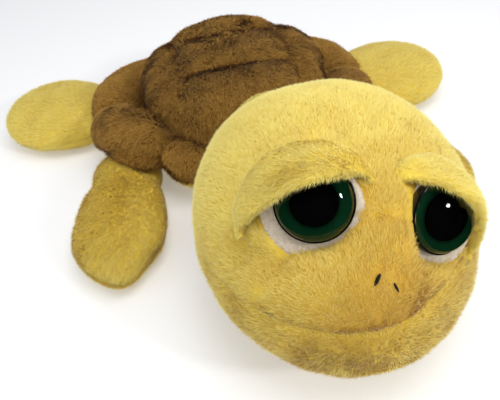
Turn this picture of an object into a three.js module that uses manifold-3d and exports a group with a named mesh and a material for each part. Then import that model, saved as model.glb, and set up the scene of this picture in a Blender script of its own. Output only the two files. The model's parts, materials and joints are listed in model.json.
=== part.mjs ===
// Plush sea turtle with a quilted shell, a turned head and large domed safety eyes.
// Millimetres, +Z up. The body looks towards -Y, the turtle's left side is +X.
// The origin is the middle of the flat belly, on the surface that the toy rests on.
import * as THREE from "three";
import { mergeVertices } from "three/addons/utils/BufferGeometryUtils.js";
import Module from "manifold-3d";

const wasm = await Module();
wasm.setup();

// Driving dimensions

const clearance = 0.35; // between neighbouring pieces
const plush = 4; // thickness of a sewn plush skin with its pile pressed flat
const overrun = 60; // how far a cutting body runs past what it cuts

const torso = {
  halfWidth: 70.5, // at the groove where dome and belly meet
  halfLength: 73,
  grooveHeight: 36,
  domeHeight: 37, // above the groove
  bellySwell: 10, // how far the belly's side stands out past the groove
  shoulderSwell: 9, // further, ahead of the front flippers
  flatHalfWidth: 58, // of the flat face that rests on the ground
  seamDepth: 2, // how far a sewn seam pulls the dome in
  seamWidth: 20,
  panelSwell: 2,
};
const topPanel = { halfWidth: 41, front: 22, rear: 30, flare: 8 }; // the end seams flare out by 8 degrees
const rim = {
  outerHalfWidth: 119,
  outerHalfLength: 100,
  halfWidth: 22,
  halfHeight: 16,
  height: 25, // of the roll's centre above the ground
  seams: [-38, 38, 88, 146, 214, 272], // degrees to the left of straight ahead
  pinchShare: 0.72, // of the section left at a seam
  frontTuck: 8, // how far the front roll is drawn in below the head
  leftTuck: 8, // the far side is pressed in towards the shell
};
const neck = {
  radius: 34,
  x: 16, // the soft neck is pushed to the turtle's left by the leaning head
  y: -86,
  z: 46,
  sleeveOpening: 20, // radius of the sleeve's two sewn mouths
};
const head = {
  halfWidth: 74.5,
  halfLength: 82.5,
  topHeight: 60, // centre to crown
  jawDepth: 58.5, // centre to chin
  aside: 23, // neck pivot to head centre, to its left
  reach: 71.5, // forwards
  rise: 27, // and upwards
  yaw: -11.3, // degrees, turned to its own right
  pitch: -6, // degrees, face raised
  roll: 15, // degrees, crown leaning to its left
  muzzleSwell: 6,
  browSwell: 3,
  mouthHeight: 10, // of the seam between face and jaw above the head's centre
  mouthTilt: 14, // degrees that the squashed jaw rises to the turtle's left
  mouthSlope: 10, // degrees that the seam falls towards the neck
};
const headTravel = { turnRight: -18, turnLeft: 4, nodUp: 12 }; // degrees from the rest pose
const eye = {
  longitude: 38.5, // degrees from the middle of the face
  latitude: 48.5,
  splay: 24, // degrees that the eye's axis turns outwards
  lift: 44,
  radius: 17.5,
  domeHeight: 9.5,
  backThickness: 1.4,
  irisRadius: 16.4,
  irisThickness: 0.6,
  pupilRadius: 9.2,
  pupilThickness: 0.5,
  seatDepth: 0.6, // the felt's face lies this far below the skin's outer face
  shankRadius: 3,
  shankLength: 15,
  washerRadius: 11,
  washerThickness: 1.4,
};
const felt = { radius: 21.5, thickness: 1.1, drop: 3.4 };
const lid = {
  halfWidth: 37, // of the padded hood, over the head's skin
  height: 40,
  pad: 8, // height of the padding above the skin
  bulge: 10, // further height over the eye itself
  bulgeWidth: 15,
  openHalfWidth: 32,
  openHeight: 12,
  drop: 2.4, // of the hood's two corners below the eye's centre
  aside: 5, // how far the hood's middle lies outwards of the eye's
  slant: 50, // degrees that the lid droops to the outer side
};
const frontFlipper = {
  roots: { left: [88, -57], right: [94, -57] }, // outwards and backwards from the middle
  z: 16,
  headings: { left: 27, right: 7 }, // degrees outwards from straight ahead
  swings: { left: [0, 36], right: [0, 53] }, // degrees outwards from the rest pose
  rimLifts: { left: 8, right: 14 }, // how far the root pushes the rim up
  length: 96,
  rootRadius: 27,
  halfWidth: 33,
  halfThickness: 13,
  widestShare: 0.52,
};
const rearFlipper = {
  roots: { left: [80, 5], right: [100, 18] },
  z: 16,
  headings: { left: 97, right: 115 },
  swings: { left: [-10, 44], right: [-24, 30] },
  rimLifts: { left: 2, right: 8 },
  length: 103,
  rootRadius: 27,
  halfWidth: 46,
  halfThickness: 13,
  widestShare: 0.55,
};
const tail = { length: 14, halfWidth: 12, halfThickness: 8, z: 11, buried: 6 };
const pelletBag = { halfWidth: 46, halfHeight: 8 };

const colours = {
  yellow: 0xe9c447,
  brown: 0x6e4a25,
  felt: 0xf1e6d6,
  iris: 0x1f4a2c,
  black: 0x101010,
  clear: 0xf2f6f4,
  fill: 0xf4f2ea,
  pellets: 0xd8d4c8,
};

// Facets: steps around and rings along each kind of form
const facets = {
  torso: [36, 18],
  torsoLining: [20, 12],
  head: [30, 20],
  headLining: [16, 10],
  ball: [24, 14],
  ballCore: [12, 8],
  roll: [10, 8],
  root: [18, 6],
  paddle: [12, 8],
  paddleLining: [8, 6],
  hood: [14, 8],
  bag: [16, 6],
  tail: [10, 6],
  round: 18, // sides of a disc or hole
  small: 8,
};

const degrees = Math.PI / 180;
const fullTurn = 2 * Math.PI;
const sides = { left: 1, right: -1 };

// Solids

/** A closed geometry as a solid that can be joined and cut. */
function solidOf(geometry) {
  const bare = geometry.clone();
  bare.deleteAttribute("normal");
  bare.deleteAttribute("uv");
  const merged = mergeVertices(bare, 1e-4);
  const vertProperties = new Float32Array(merged.attributes.position.array);
  const triVerts = new Uint32Array(merged.index.array);
  return new wasm.Manifold(new wasm.Mesh({ numProp: 3, vertProperties, triVerts }));
}

/** The solid's surface as a geometry. */
function geometryOf(solid) {
  const mesh = solid.getMesh();
  const geometry = new THREE.BufferGeometry();
  geometry.setAttribute("position", new THREE.BufferAttribute(mesh.vertProperties, mesh.numProp));
  geometry.setIndex(new THREE.BufferAttribute(mesh.triVerts, 1));
  geometry.computeVertexNormals();
  return geometry;
}

/** A geometry moved into another frame, as a solid. */
function placed(geometry, matrix) {
  return solidOf(geometry.clone().applyMatrix4(matrix));
}

/** The biggest body of a solid that a cut may have left in pieces. */
function largestPart(solid) {
  return solid.decompose().reduce((most, part) => (part.volume() > most.volume() ? part : most));
}

/** A surface closed by a pole at each end: place(turn, along) gives its points, both from 0 to 1. */
function closedSurface([around, rings], place) {
  const points = [place(0, 0)];
  const faces = [];
  for (let ring = 1; ring < rings; ring++) {
    for (let step = 0; step < around; step++) points.push(place(step / around, ring / rings));
  }
  points.push(place(0, 1));
  const last = points.length - 1;
  const at = (ring, step) => 1 + (ring - 1) * around + (step % around);
  for (let step = 0; step < around; step++) {
    faces.push(0, at(1, step + 1), at(1, step));
    faces.push(last, at(rings - 1, step), at(rings - 1, step + 1));
    for (let ring = 1; ring < rings - 1; ring++) {
      faces.push(at(ring, step), at(ring, step + 1), at(ring + 1, step + 1));
      faces.push(at(ring, step), at(ring + 1, step + 1), at(ring + 1, step));
    }
  }
  const geometry = new THREE.BufferGeometry().setFromPoints(points);
  geometry.setIndex(faces);
  return geometry;
}

/** A sphere scaled to three half axes, its poles on Z. */
function ellipsoid(halfX, halfY, halfZ, [around, rings]) {
  return new THREE.SphereGeometry(1, around, rings).rotateX(Math.PI / 2).scale(halfX, halfY, halfZ);
}

/** A round disc or cylinder from z = bottom to z = top. */
function disc(radius, bottom, top, count = facets.round) {
  const height = top - bottom;
  const geometry = new THREE.CylinderGeometry(radius, radius, height, count).rotateX(Math.PI / 2);
  return geometry.translate(0, 0, bottom + height / 2);
}

/** Everything between two levels, as a box wider than the whole toy. */
function slabBetween(bottom, top) {
  const width = 2 * (rim.outerHalfWidth + frontFlipper.length + overrun);
  return solidOf(new THREE.BoxGeometry(width, width, top - bottom).translate(0, 0, (top + bottom) / 2));
}

const material = (color, roughness) => new THREE.MeshStandardMaterial({ color, roughness, metalness: 0 });
const plushYellow = () => material(colours.yellow, 0.95);
const plushBrown = () => material(colours.brown, 0.95);
const filling = () => material(colours.fill, 1);

function addMesh(group, name, solid, finish) {
  const mesh = new THREE.Mesh(geometryOf(solid), finish);
  mesh.name = name;
  group.add(mesh);
}

/** A child group whose frame is the given matrix. */
function addGroup(parent, frame) {
  const group = new THREE.Group();
  group.applyMatrix4(frame);
  parent.add(group);
  return group;
}

/** A bell curve of height 1 and the given width. */
const bell = (distance, width) => Math.exp(-((distance / width) ** 2) / 2);
/** 0 before the start, 1 past the end, smooth between. */
const ease = THREE.MathUtils.smoothstep;
/** Signed angle between two directions, in radians from -pi to pi. */
const turnBetween = (a, b) => Math.atan2(Math.sin(a - b), Math.cos(a - b));

// Torso: one stuffed form, brown quilted dome above the groove and yellow belly below it

/** Distance from the shell's middle to the top panel's edge at a bearing. */
function panelEdge(bearing) {
  const across = Math.abs(Math.sin(bearing)) + 1e-9;
  const ahead = Math.abs(Math.cos(bearing)) + 1e-9;
  const end = Math.cos(bearing) > 0 ? topPanel.front : topPanel.rear;
  return Math.min(topPanel.halfWidth / across, end / ahead);
}

/** How far the quilting moves the dome in at its seams and out between them. */
function quilting(at) {
  const middle = (topPanel.rear - topPanel.front) / 2;
  const past = Math.abs(at.y - middle) - (topPanel.rear + topPanel.front) / 2;
  const beside = Math.abs(at.x) - topPanel.halfWidth;
  const inside = Math.max(past, beside);
  const outside = Math.hypot(Math.max(past, 0), Math.max(beside, 0));
  const fromEdge = inside < 0 ? -inside : outside;
  const flare = Math.tan(topPanel.flare * degrees) * Math.max(past, 0);
  const fromSeam = past > 0 ? Math.abs(beside - flare) : overrun;
  const sewn = Math.max(bell(fromEdge, torso.seamWidth / 3), bell(fromSeam, torso.seamWidth / 3));
  return torso.panelSwell * (1 - sewn) - torso.seamDepth * sewn;
}

const bellyShare = 0.4; // of the rings lie below the groove
const flatShare = 0.35; // of those lie on the ground
const shoulderShare = 0.62; // exponent that squares the dome's shoulder

/** A point of the belly, up from its middle on the ground to the groove. */
function bellyPoint(bearing, up, inset) {
  const flatWidth = torso.flatHalfWidth - inset;
  let width = flatWidth;
  let z = inset;
  if (up <= flatShare) {
    width *= up / flatShare;
  } else {
    const rise = (up - flatShare) / (1 - flatShare);
    const wide = torso.halfWidth - torso.flatHalfWidth;
    const shoulder = torso.shoulderSwell * bell(Math.abs(turnBetween(bearing, 0)) / degrees - 35, 14);
    const swell = (torso.bellySwell + shoulder) * Math.sin(rise * Math.PI) ** 0.8;
    const side = wide * Math.sin((rise * Math.PI) / 2) + swell;
    width += side;
    z += (torso.grooveHeight - inset) * rise ** 1.4;
  }
  const stretchShare = (torso.halfLength - inset) / (torso.halfWidth - inset);
  return new THREE.Vector3(Math.sin(bearing) * width, -Math.cos(bearing) * width * stretchShare, z);
}

/** A point of the dome, up from the groove to the crown; the middle ring is the top panel's edge. */
function domePoint(bearing, up, inset, quilted) {
  const plan = (share) => {
    const x = Math.sin(bearing) * (torso.halfWidth - inset) * share;
    const y = -Math.cos(bearing) * (torso.halfLength - inset) * share;
    return new THREE.Vector2(x, y);
  };
  const edgeShare = panelEdge(bearing) / plan(1).length();
  const edgeTurn = Math.acos(edgeShare ** (1 / shoulderShare));
  const turn = up < 0.5 ? edgeTurn * up * 2 : edgeTurn + (Math.PI / 2 - edgeTurn) * (2 * up - 1);
  const at = plan(Math.max(0, Math.cos(turn)) ** shoulderShare);
  const rise = (torso.domeHeight - inset) * Math.sin(turn) ** shoulderShare;
  const swell = quilted ? quilting(at) : 0;
  const out = new THREE.Vector3(at.x, at.y, 2 * rise).normalize();
  const point = new THREE.Vector3(at.x, at.y, torso.grooveHeight + rise);
  return point.addScaledVector(out, swell * ease(up, 0, 0.2));
}

function torsoSurface(steps, inset, quilted) {
  return closedSurface(steps, (turn, along) => {
    const bearing = turn * fullTurn;
    if (along < bellyShare) return bellyPoint(bearing, along / bellyShare, inset);
    return domePoint(bearing, (along - bellyShare) / (1 - bellyShare), inset, quilted);
  });
}

const torsoOuter = solidOf(torsoSurface(facets.torso, 0, true));
const torsoLining = solidOf(torsoSurface(facets.torsoLining, plush, false));
const torsoFill = solidOf(torsoSurface(facets.torsoLining, plush + clearance, false));
const torsoKeepOut = solidOf(torsoSurface(facets.torso, -clearance, true));

// Neck and head frames

const neckFrame = new THREE.Matrix4().makeTranslation(neck.x, neck.y, neck.z);
const neckBall = (radius, steps = facets.ball) => ellipsoid(radius, radius, radius, steps);
/** How much larger a faceted socket is, so that a faceted ball can turn in it. */
const socketShare = ([around, rings]) => 1 / (Math.cos(Math.PI / around) * Math.cos(Math.PI / (2 * rings)));
const neckSocket = () => neckBall((neck.radius + clearance) * socketShare(facets.ball));
const neckHold = placed(neckSocket(), neckFrame);

/** The head's frame at its neck pivot, turned and nodded by degrees away from the rest pose. */
function headFrameAt(turn, nod) {
  const turned = new THREE.Matrix4().makeRotationZ(turn * degrees);
  const rest = new THREE.Euler(-head.pitch * degrees, head.roll * degrees, head.yaw * degrees, "ZXY");
  const posed = new THREE.Matrix4().makeRotationFromEuler(rest);
  const nodded = new THREE.Matrix4().makeRotationX(-nod * degrees);
  return new THREE.Matrix4().multiplyMatrices(neckFrame, turned.multiply(posed).multiply(nodded));
}

const headFrame = headFrameAt(0, 0);
const headCentre = new THREE.Vector3(head.aside, -head.reach, head.rise);

/** Distance from the head's centre to its skin in a unit direction: egg, muzzle and brows. */
function headRadius(d) {
  const height = d.z > 0 ? head.topHeight : head.jawDepth;
  const egg = 1 / Math.hypot(d.x / head.halfWidth, d.y / head.halfLength, d.z / height);
  const longitude = Math.atan2(d.x, -d.y) / degrees;
  const latitude = Math.asin(d.z) / degrees;
  const front = bell(longitude, 50);
  const muzzleTop = 20 + 28 * bell(longitude, 15);
  const muzzle = head.muzzleSwell * front * ease(muzzleTop - latitude, -6, 20) * ease(latitude, -35, -5);
  const brow = head.browSwell * bell(latitude - 62, 14) * bell(Math.abs(longitude) - 30, 28);
  return egg + muzzle + brow;
}

/** The head's closed surface, an inset smaller all round. */
function headSurface(steps, inset) {
  return closedSurface(steps, (turn, along) => {
    const polar = Math.PI * along;
    const angle = turn * fullTurn;
    const across = Math.sin(polar);
    const d = new THREE.Vector3(across * Math.sin(angle), -across * Math.cos(angle), -Math.cos(polar));
    return headCentre.clone().addScaledVector(d, headRadius(d) - inset);
  });
}

/** The space that the head passes through as it turns and nods. */
function headSweep() {
  const steps = 6;
  const surface = headSurface(facets.headLining, -2 * clearance);
  let sweep = null;
  for (let step = 0; step <= steps; step++) {
    const turn = headTravel.turnRight + ((headTravel.turnLeft - headTravel.turnRight) * step) / steps;
    for (const nod of [0, headTravel.nodUp]) {
      const pose = placed(surface, headFrameAt(turn, nod));
      sweep = sweep ? sweep.add(pose) : pose;
    }
  }
  return sweep;
}

// Flippers: each swings about an upright line through its round root

/** A paddle lies along -Y of its frame, whose Z is the line that it swings about. */
function flipperFrame(spec, word) {
  const [out, back] = spec.roots[word];
  const frame = new THREE.Matrix4().makeTranslation(sides[word] * out, back, spec.z);
  return frame.multiply(new THREE.Matrix4().makeRotationZ(sides[word] * spec.headings[word] * degrees));
}

/** The root is round about the swing line, so that it turns in its socket. */
function flipperRoot(spec, inset) {
  const radius = spec.rootRadius - inset;
  return ellipsoid(radius, radius, spec.halfThickness - inset, facets.root);
}

/** The socket that a faceted root turns in. */
function rootSocket(spec) {
  const wider = 1 / Math.cos(Math.PI / facets.root[0]);
  return flipperRoot(spec, -clearance).scale(wider, wider, 1);
}

const tipShare = 0.3; // of the thickness that a paddle keeps close to its tip

/** A stuffed paddle: it swells to its widest line and closes round at the tip. */
function flipperPaddle(spec, inset, steps) {
  return closedSurface(steps, (turn, along) => {
    const angle = turn * fullTurn;
    const share = Math.sin((along * Math.PI) / 2);
    const past = Math.max(0, (share - spec.widestShare) / (1 - spec.widestShare));
    const tip = Math.sqrt(Math.max(0, 1 - past ** 2.3));
    const full = spec.rootRadius + (spec.halfWidth - spec.rootRadius) * ease(share, 0, spec.widestShare);
    const open = along > 0 ? 1 : 0;
    const width = Math.max(0, full * tip - inset) * open;
    const flat = tipShare + (1 - tipShare) * tip;
    const thick = Math.max(0, spec.halfThickness * flat - inset) * open * Math.sign(tip);
    const reach = share * (spec.length - inset);
    return new THREE.Vector3(Math.cos(angle) * width, -reach, Math.sin(angle) * thick);
  });
}

const flipperSpecs = { front_flipper: frontFlipper, rear_flipper: rearFlipper };
const flippers = Object.entries(flipperSpecs).flatMap(([kind, spec]) =>
  Object.keys(sides).map((word) => {
    return { name: `${kind}_${word}`, spec, word, frame: flipperFrame(spec, word) };
  }),
);

/** The flat fan that a flipper sweeps, from below the ground to just over its top. */
function flipperFan({ spec, word, frame }) {
  const width = spec.halfWidth + clearance;
  const reach = spec.length + clearance;
  const ends = spec.swings[word].map((swing) => sides[word] * swing * degrees);
  const low = Math.min(...ends);
  const high = Math.max(...ends);
  const heading = (angle, along, across) =>
    new THREE.Vector2(
      Math.sin(angle) * along + Math.cos(angle) * across,
      -Math.cos(angle) * along + Math.sin(angle) * across,
    );
  const steps = 6;
  const outline = [heading(low, 0, -width), heading(low, reach, -width)];
  for (let step = 0; step <= steps; step++) {
    outline.push(heading(low + ((high - low) * step) / steps, reach, 0));
  }
  outline.push(heading(high, reach, width), heading(high, 0, width));
  const depth = overrun + spec.halfThickness + clearance;
  const fan = new THREE.ExtrudeGeometry(new THREE.Shape(outline), { depth, bevelEnabled: false });
  return placed(fan.translate(0, 0, -overrun), frame);
}

// Torso pieces

function tailSolid(grow) {
  const start = torso.halfLength + torso.bellySwell - tail.buried;
  const reach = tail.buried + rim.outerHalfLength - torso.halfLength - torso.bellySwell + tail.length;
  return solidOf(closedSurface(facets.tail, (turn, along) => {
    const angle = turn * fullTurn;
    const taper = Math.min(1, along / 0.15) * Math.sqrt(1 - along ** 1.8);
    const width = (tail.halfWidth + grow) * taper;
    const thick = (tail.halfThickness + grow) * taper;
    const out = start + reach * along;
    return new THREE.Vector3(-Math.cos(angle) * width, out, tail.z + Math.sin(angle) * thick);
  }));
}

function pelletBagSolid(grow) {
  const half = pelletBag.halfWidth + grow;
  const level = plush + clearance + pelletBag.halfHeight;
  return solidOf(ellipsoid(half, half, pelletBag.halfHeight + grow, facets.bag).translate(0, 0, level));
}

/** An upright prism over a plan outline, from below the toy to above it. */
function uprightPrism(outline) {
  const shape = new THREE.Shape(outline.map(([x, y]) => new THREE.Vector2(x, y)));
  const depth = torso.grooveHeight + torso.domeHeight + 2 * overrun;
  const prism = new THREE.ExtrudeGeometry(shape, { depth, bevelEnabled: false });
  return solidOf(prism.translate(0, 0, -overrun));
}

function topPanelPrism(grow) {
  const half = topPanel.halfWidth + grow;
  const ends = [-topPanel.front - grow, topPanel.rear + grow];
  return uprightPrism([[-half, ends[0]], [half, ends[0]], [half, ends[1]], [-half, ends[1]]]);
}

/** The plan of a panel ahead of the top panel (ahead = -1) or behind it (ahead = 1). */
function endPanelPrism(ahead, grow) {
  const start = ahead * (ahead > 0 ? topPanel.rear : topPanel.front);
  const reach = ahead * (torso.halfLength + overrun);
  const half = topPanel.halfWidth + grow;
  const wide = half + Math.abs(reach - start) * Math.tan(topPanel.flare * degrees);
  const outline = [[-half, start], [half, start], [wide, reach], [-wide, reach]];
  return uprightPrism(ahead > 0 ? outline : outline.reverse());
}

/** Everything on one side of the shell's middle line. */
function sideHalf(side) {
  const size = 2 * (torso.halfWidth + overrun);
  return solidOf(new THREE.BoxGeometry(size, 2 * size, size).translate((side * size) / 2, 0, size / 2));
}

function buildTorso(group, holds) {
  const skin = torsoOuter.subtract(torsoLining);
  const top = torso.grooveHeight + torso.domeHeight;
  const above = slabBetween(torso.grooveHeight + clearance / 2, top + overrun);
  const below = slabBetween(-overrun, torso.grooveHeight - clearance / 2);
  const belly = skin.intersect(below).subtract(holds.roots).subtract(neckHold).subtract(tailSolid(clearance));
  addMesh(group, "belly_skin", largestPart(belly), plushYellow());
  const stuffing = torsoFill.subtract(holds.roots).subtract(neckHold).subtract(pelletBagSolid(clearance));
  addMesh(group, "body_stuffing", stuffing.subtract(tailSolid(clearance)), filling());
  addMesh(group, "pellet_bag", pelletBagSolid(0), material(colours.pellets, 0.8));
  addMesh(group, "tail", tailSolid(0), plushYellow());

  const dome = skin.intersect(above).subtract(neckHold);
  addMesh(group, "shell_top_panel", dome.intersect(topPanelPrism(-clearance)), plushBrown());
  const around = dome.subtract(topPanelPrism(0));
  const ends = { front: -1, rear: 1 };
  for (const [word, ahead] of Object.entries(ends)) {
    const panel = around.intersect(endPanelPrism(ahead, -clearance));
    addMesh(group, `shell_${word}_panel`, largestPart(panel), plushBrown());
  }
  const flanks = around.subtract(endPanelPrism(ends.front, 0)).subtract(endPanelPrism(ends.rear, 0));
  for (const [word, side] of Object.entries(sides)) {
    addMesh(group, `shell_${word}_panel`, largestPart(flanks.intersect(sideHalf(side))), plushBrown());
  }
}

/** Middle of the rim's roll at a bearing from straight ahead, towards the turtle's left. */
function rimCentre(bearing) {
  const lift = flippers.reduce((most, { spec, word }) => {
    const [out, back] = spec.roots[word];
    const root = Math.atan2(sides[word] * out, -back);
    return Math.max(most, spec.rimLifts[word] * bell(turnBetween(bearing, root), 22 * degrees));
  }, 0);
  const tuck = rim.frontTuck * bell(turnBetween(bearing, 0), 26 * degrees);
  const left = rim.leftTuck * bell(turnBetween(bearing, Math.PI / 2), 50 * degrees);
  const inward = rim.halfWidth + tuck + left;
  return {
    x: Math.sin(bearing) * (rim.outerHalfWidth - inward),
    y: -Math.cos(bearing) * (rim.outerHalfLength - inward),
    z: rim.height + lift,
    width: rim.halfWidth - tuck / 2,
  };
}

/** One padded roll of the rim, drawn in where it is sewn to its neighbours. */
function rimRoll(index) {
  const gapAngle = clearance / rim.outerHalfWidth;
  const next = rim.seams[index + 1] ?? rim.seams[0] + fullTurn / degrees;
  const start = rim.seams[index] * degrees + gapAngle;
  const sweep = (next - rim.seams[index]) * degrees - 2 * gapAngle;
  return solidOf(closedSurface(facets.roll, (turn, along) => {
    const angle = -turn * fullTurn;
    const spread = along <= 0 || along >= 1 ? along : (along * facets.roll[1] - 1) / (facets.roll[1] - 2);
    const bearing = start + sweep * spread;
    const centre = rimCentre(bearing);
    const open = along > 0 && along < 1 ? 1 : 0;
    const full = (rim.pinchShare + (1 - rim.pinchShare) * Math.sin(Math.PI * spread) ** 0.7) * open;
    const out = Math.cos(angle) * centre.width * full;
    return new THREE.Vector3(
      centre.x + Math.sin(bearing) * out,
      centre.y - Math.cos(bearing) * out,
      centre.z + Math.sin(angle) * rim.halfHeight * full,
    );
  }));
}

function buildRim(group, holds) {
  const sweep = headSweep();
  const ground = slabBetween(-overrun, clearance);
  for (let index = 0; index < rim.seams.length; index++) {
    let roll = rimRoll(index).subtract(torsoKeepOut).subtract(neckHold).subtract(sweep).subtract(ground);
    roll = roll.subtract(tailSolid(clearance)).subtract(holds.roots).subtract(holds.fans);
    addMesh(group, `shell_rim_roll_${index + 1}`, largestPart(roll), plushBrown());
  }
}

// Flipper pieces

function buildFlipper(parent, { name, spec, frame }) {
  const group = addGroup(parent, frame);
  const paddle = (inset, steps) => solidOf(flipperPaddle(spec, inset, steps));
  const form = (inset, steps) => solidOf(flipperRoot(spec, inset)).add(paddle(inset, steps));
  const skin = form(0, facets.paddle).subtract(form(plush, facets.paddleLining));
  const upper = slabBetween(clearance / 2, overrun);
  const lower = slabBetween(-overrun, -clearance / 2);
  addMesh(group, `${name}_top`, skin.intersect(upper), plushYellow());
  addMesh(group, `${name}_underside`, skin.intersect(lower), plushYellow());
  addMesh(group, `${name}_stuffing`, form(plush + clearance, facets.paddleLining), filling());
}

// Eyes

/** A unit direction from a longitude and a latitude in degrees, (0, 0) straight ahead. */
function direction(longitude, latitude) {
  const lon = longitude * degrees;
  const lat = latitude * degrees;
  return new THREE.Vector3(Math.sin(lon) * Math.cos(lat), -Math.cos(lon) * Math.cos(lat), Math.sin(lat));
}

/** An eye's frame: origin where its axis meets the skin, +Z along the axis, +Y towards the crown. */
function eyeFrame(side) {
  const towards = direction(side * eye.longitude, eye.latitude);
  const seat = headCentre.clone().addScaledVector(towards, headRadius(towards));
  const axis = direction(side * eye.splay, eye.lift);
  const across = new THREE.Vector3(0, 0, 1).cross(axis).normalize();
  const up = axis.clone().cross(across);
  return new THREE.Matrix4().makeBasis(across, up, axis).setPosition(seat);
}

// Levels of the stack along the eye's axis
const feltTop = -eye.seatDepth;
const feltBottom = feltTop - felt.thickness;
const backBottom = feltTop + clearance;
const irisBottom = backBottom + eye.backThickness + clearance;
const pupilBottom = irisBottom + eye.irisThickness + clearance;
const domeBottom = pupilBottom + eye.pupilThickness + clearance;
const washerTop = feltBottom - plush - 2 * clearance;
const washerBottom = washerTop - eye.washerThickness;

function feltDisc(grow) {
  return disc(felt.radius + grow, feltBottom - grow, feltTop + grow).translate(0, -felt.drop, 0);
}

function shankPin(grow, top) {
  return solidOf(disc(eye.shankRadius + grow, -eye.shankLength - grow, top, facets.small));
}

/** The clear dome over the pupil and iris, from its flat base up. */
function eyeDome(grow) {
  const quarter = Math.PI / 2;
  const steps = 6;
  const profile = [new THREE.Vector2(0, 0)];
  for (let step = 0; step <= steps; step++) {
    const angle = (step / steps) * quarter;
    const across = step === steps ? 0 : Math.cos(angle) * (eye.radius + grow);
    profile.push(new THREE.Vector2(across, Math.sin(angle) * (eye.domeHeight + grow)));
  }
  return new THREE.LatheGeometry(profile, facets.round).rotateX(quarter).translate(0, 0, domeBottom);
}

/** What the felt takes out of the skin, or with a margin what it takes out of the hollow behind. */
function feltPocket(side, margin) {
  const pocket = disc(felt.radius + clearance + margin, feltBottom - clearance - margin, overrun);
  return placed(pocket.translate(0, -felt.drop, 0), eyeFrame(side));
}

const shankHole = (side) => placed(geometryOf(shankPin(clearance, overrun)), eyeFrame(side));

/** What the eye's inner end takes out of the skin and the stuffing. */
function washerPocket(side) {
  const washer = disc(eye.washerRadius + clearance, washerBottom - clearance, washerTop + clearance);
  return placed(washer, eyeFrame(side)).add(placed(geometryOf(shankPin(clearance, 0)), eyeFrame(side)));
}

function buildEye(parent, word) {
  const group = addGroup(parent, eyeFrame(sides[word]));
  const hole = shankPin(clearance, overrun);
  addMesh(group, `eye_felt_${word}`, solidOf(feltDisc(0)).subtract(hole), material(colours.felt, 0.95));
  const plate = solidOf(disc(eye.radius, backBottom, backBottom + eye.backThickness));
  const shank = shankPin(0, backBottom + eye.backThickness / 2);
  addMesh(group, `eye_back_${word}`, plate.add(shank), material(colours.black, 0.4));
  const iris = solidOf(disc(eye.irisRadius, irisBottom, irisBottom + eye.irisThickness));
  addMesh(group, `eye_iris_${word}`, iris, material(colours.iris, 0.3));
  const pupil = solidOf(disc(eye.pupilRadius, pupilBottom, pupilBottom + eye.pupilThickness));
  addMesh(group, `eye_pupil_${word}`, pupil, material(colours.black, 0.2));
  addMesh(group, `eye_dome_${word}`, solidOf(eyeDome(0)), material(colours.clear, 0.05));
  const washer = solidOf(disc(eye.washerRadius, washerBottom, washerTop)).subtract(hole);
  addMesh(group, `eye_washer_${word}`, washer, material(colours.fill, 0.5));
}

// Head pieces

/** A padded cap that follows the head's skin round the eye, in the drooping lid's frame. */
function lidCap(side, turned) {
  const underShare = 0.3; // of the rings lie on its underside
  return closedSurface(facets.hood, (turn, along) => {
    const angle = -turn * fullTurn;
    const top = along <= 1 - underShare;
    const spread = top ? Math.sin(((along / (1 - underShare)) * Math.PI) / 2) : (1 - along) / underShare;
    const flat = new THREE.Vector3(Math.cos(angle) * lid.halfWidth, Math.sin(angle) * lid.height, 0);
    flat.multiplyScalar(spread).add(new THREE.Vector3(side * lid.aside, -lid.drop, 0));
    const fromEye = flat.length();
    const d = flat.applyMatrix4(turned).sub(headCentre).normalize();
    const padding = lid.pad * Math.sqrt(Math.max(0, 1 - spread ** 4));
    const height = top ? padding + lid.bulge * bell(fromEye, lid.bulgeWidth) : -plush;
    return headCentre.clone().addScaledVector(d, headRadius(d) + height);
  });
}

/** A drooping padded lid over the eye's upper and outer side, cut away in an arch for the eye. */
function eyelid(side, headHold) {
  const frame = eyeFrame(side);
  const droop = new THREE.Matrix4().makeRotationZ(-side * lid.slant * degrees);
  const turned = frame.clone().multiply(droop);
  const opening = disc(1, -overrun, overrun).scale(lid.openHalfWidth, lid.openHeight, 1);
  opening.translate(side * lid.aside, -lid.drop, 0);
  const below = new THREE.BoxGeometry(2 * overrun, overrun, 2 * overrun);
  below.translate(0, -lid.drop - overrun / 2, 0);
  const plates = disc(eye.radius + clearance, feltTop, domeBottom + clearance);
  const cuts = [placed(opening, turned), placed(below, turned), headHold, placed(plates, frame)];
  cuts.push(placed(eyeDome(clearance), frame), placed(feltDisc(clearance), frame));
  return largestPart(cuts.reduce((left, cut) => left.subtract(cut), solidOf(lidCap(side, turned))));
}

/** Everything below the seam that runs from the mouth round the head to its back. */
function jawSide(gap) {
  const size = 2 * (head.halfLength + overrun);
  const block = new THREE.BoxGeometry(size, size, size).translate(0, 0, head.mouthHeight - gap - size / 2);
  block.rotateY(-head.mouthTilt * degrees).rotateX(-head.mouthSlope * degrees);
  return solidOf(block.translate(headCentre.x, headCentre.y, headCentre.z));
}

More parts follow.
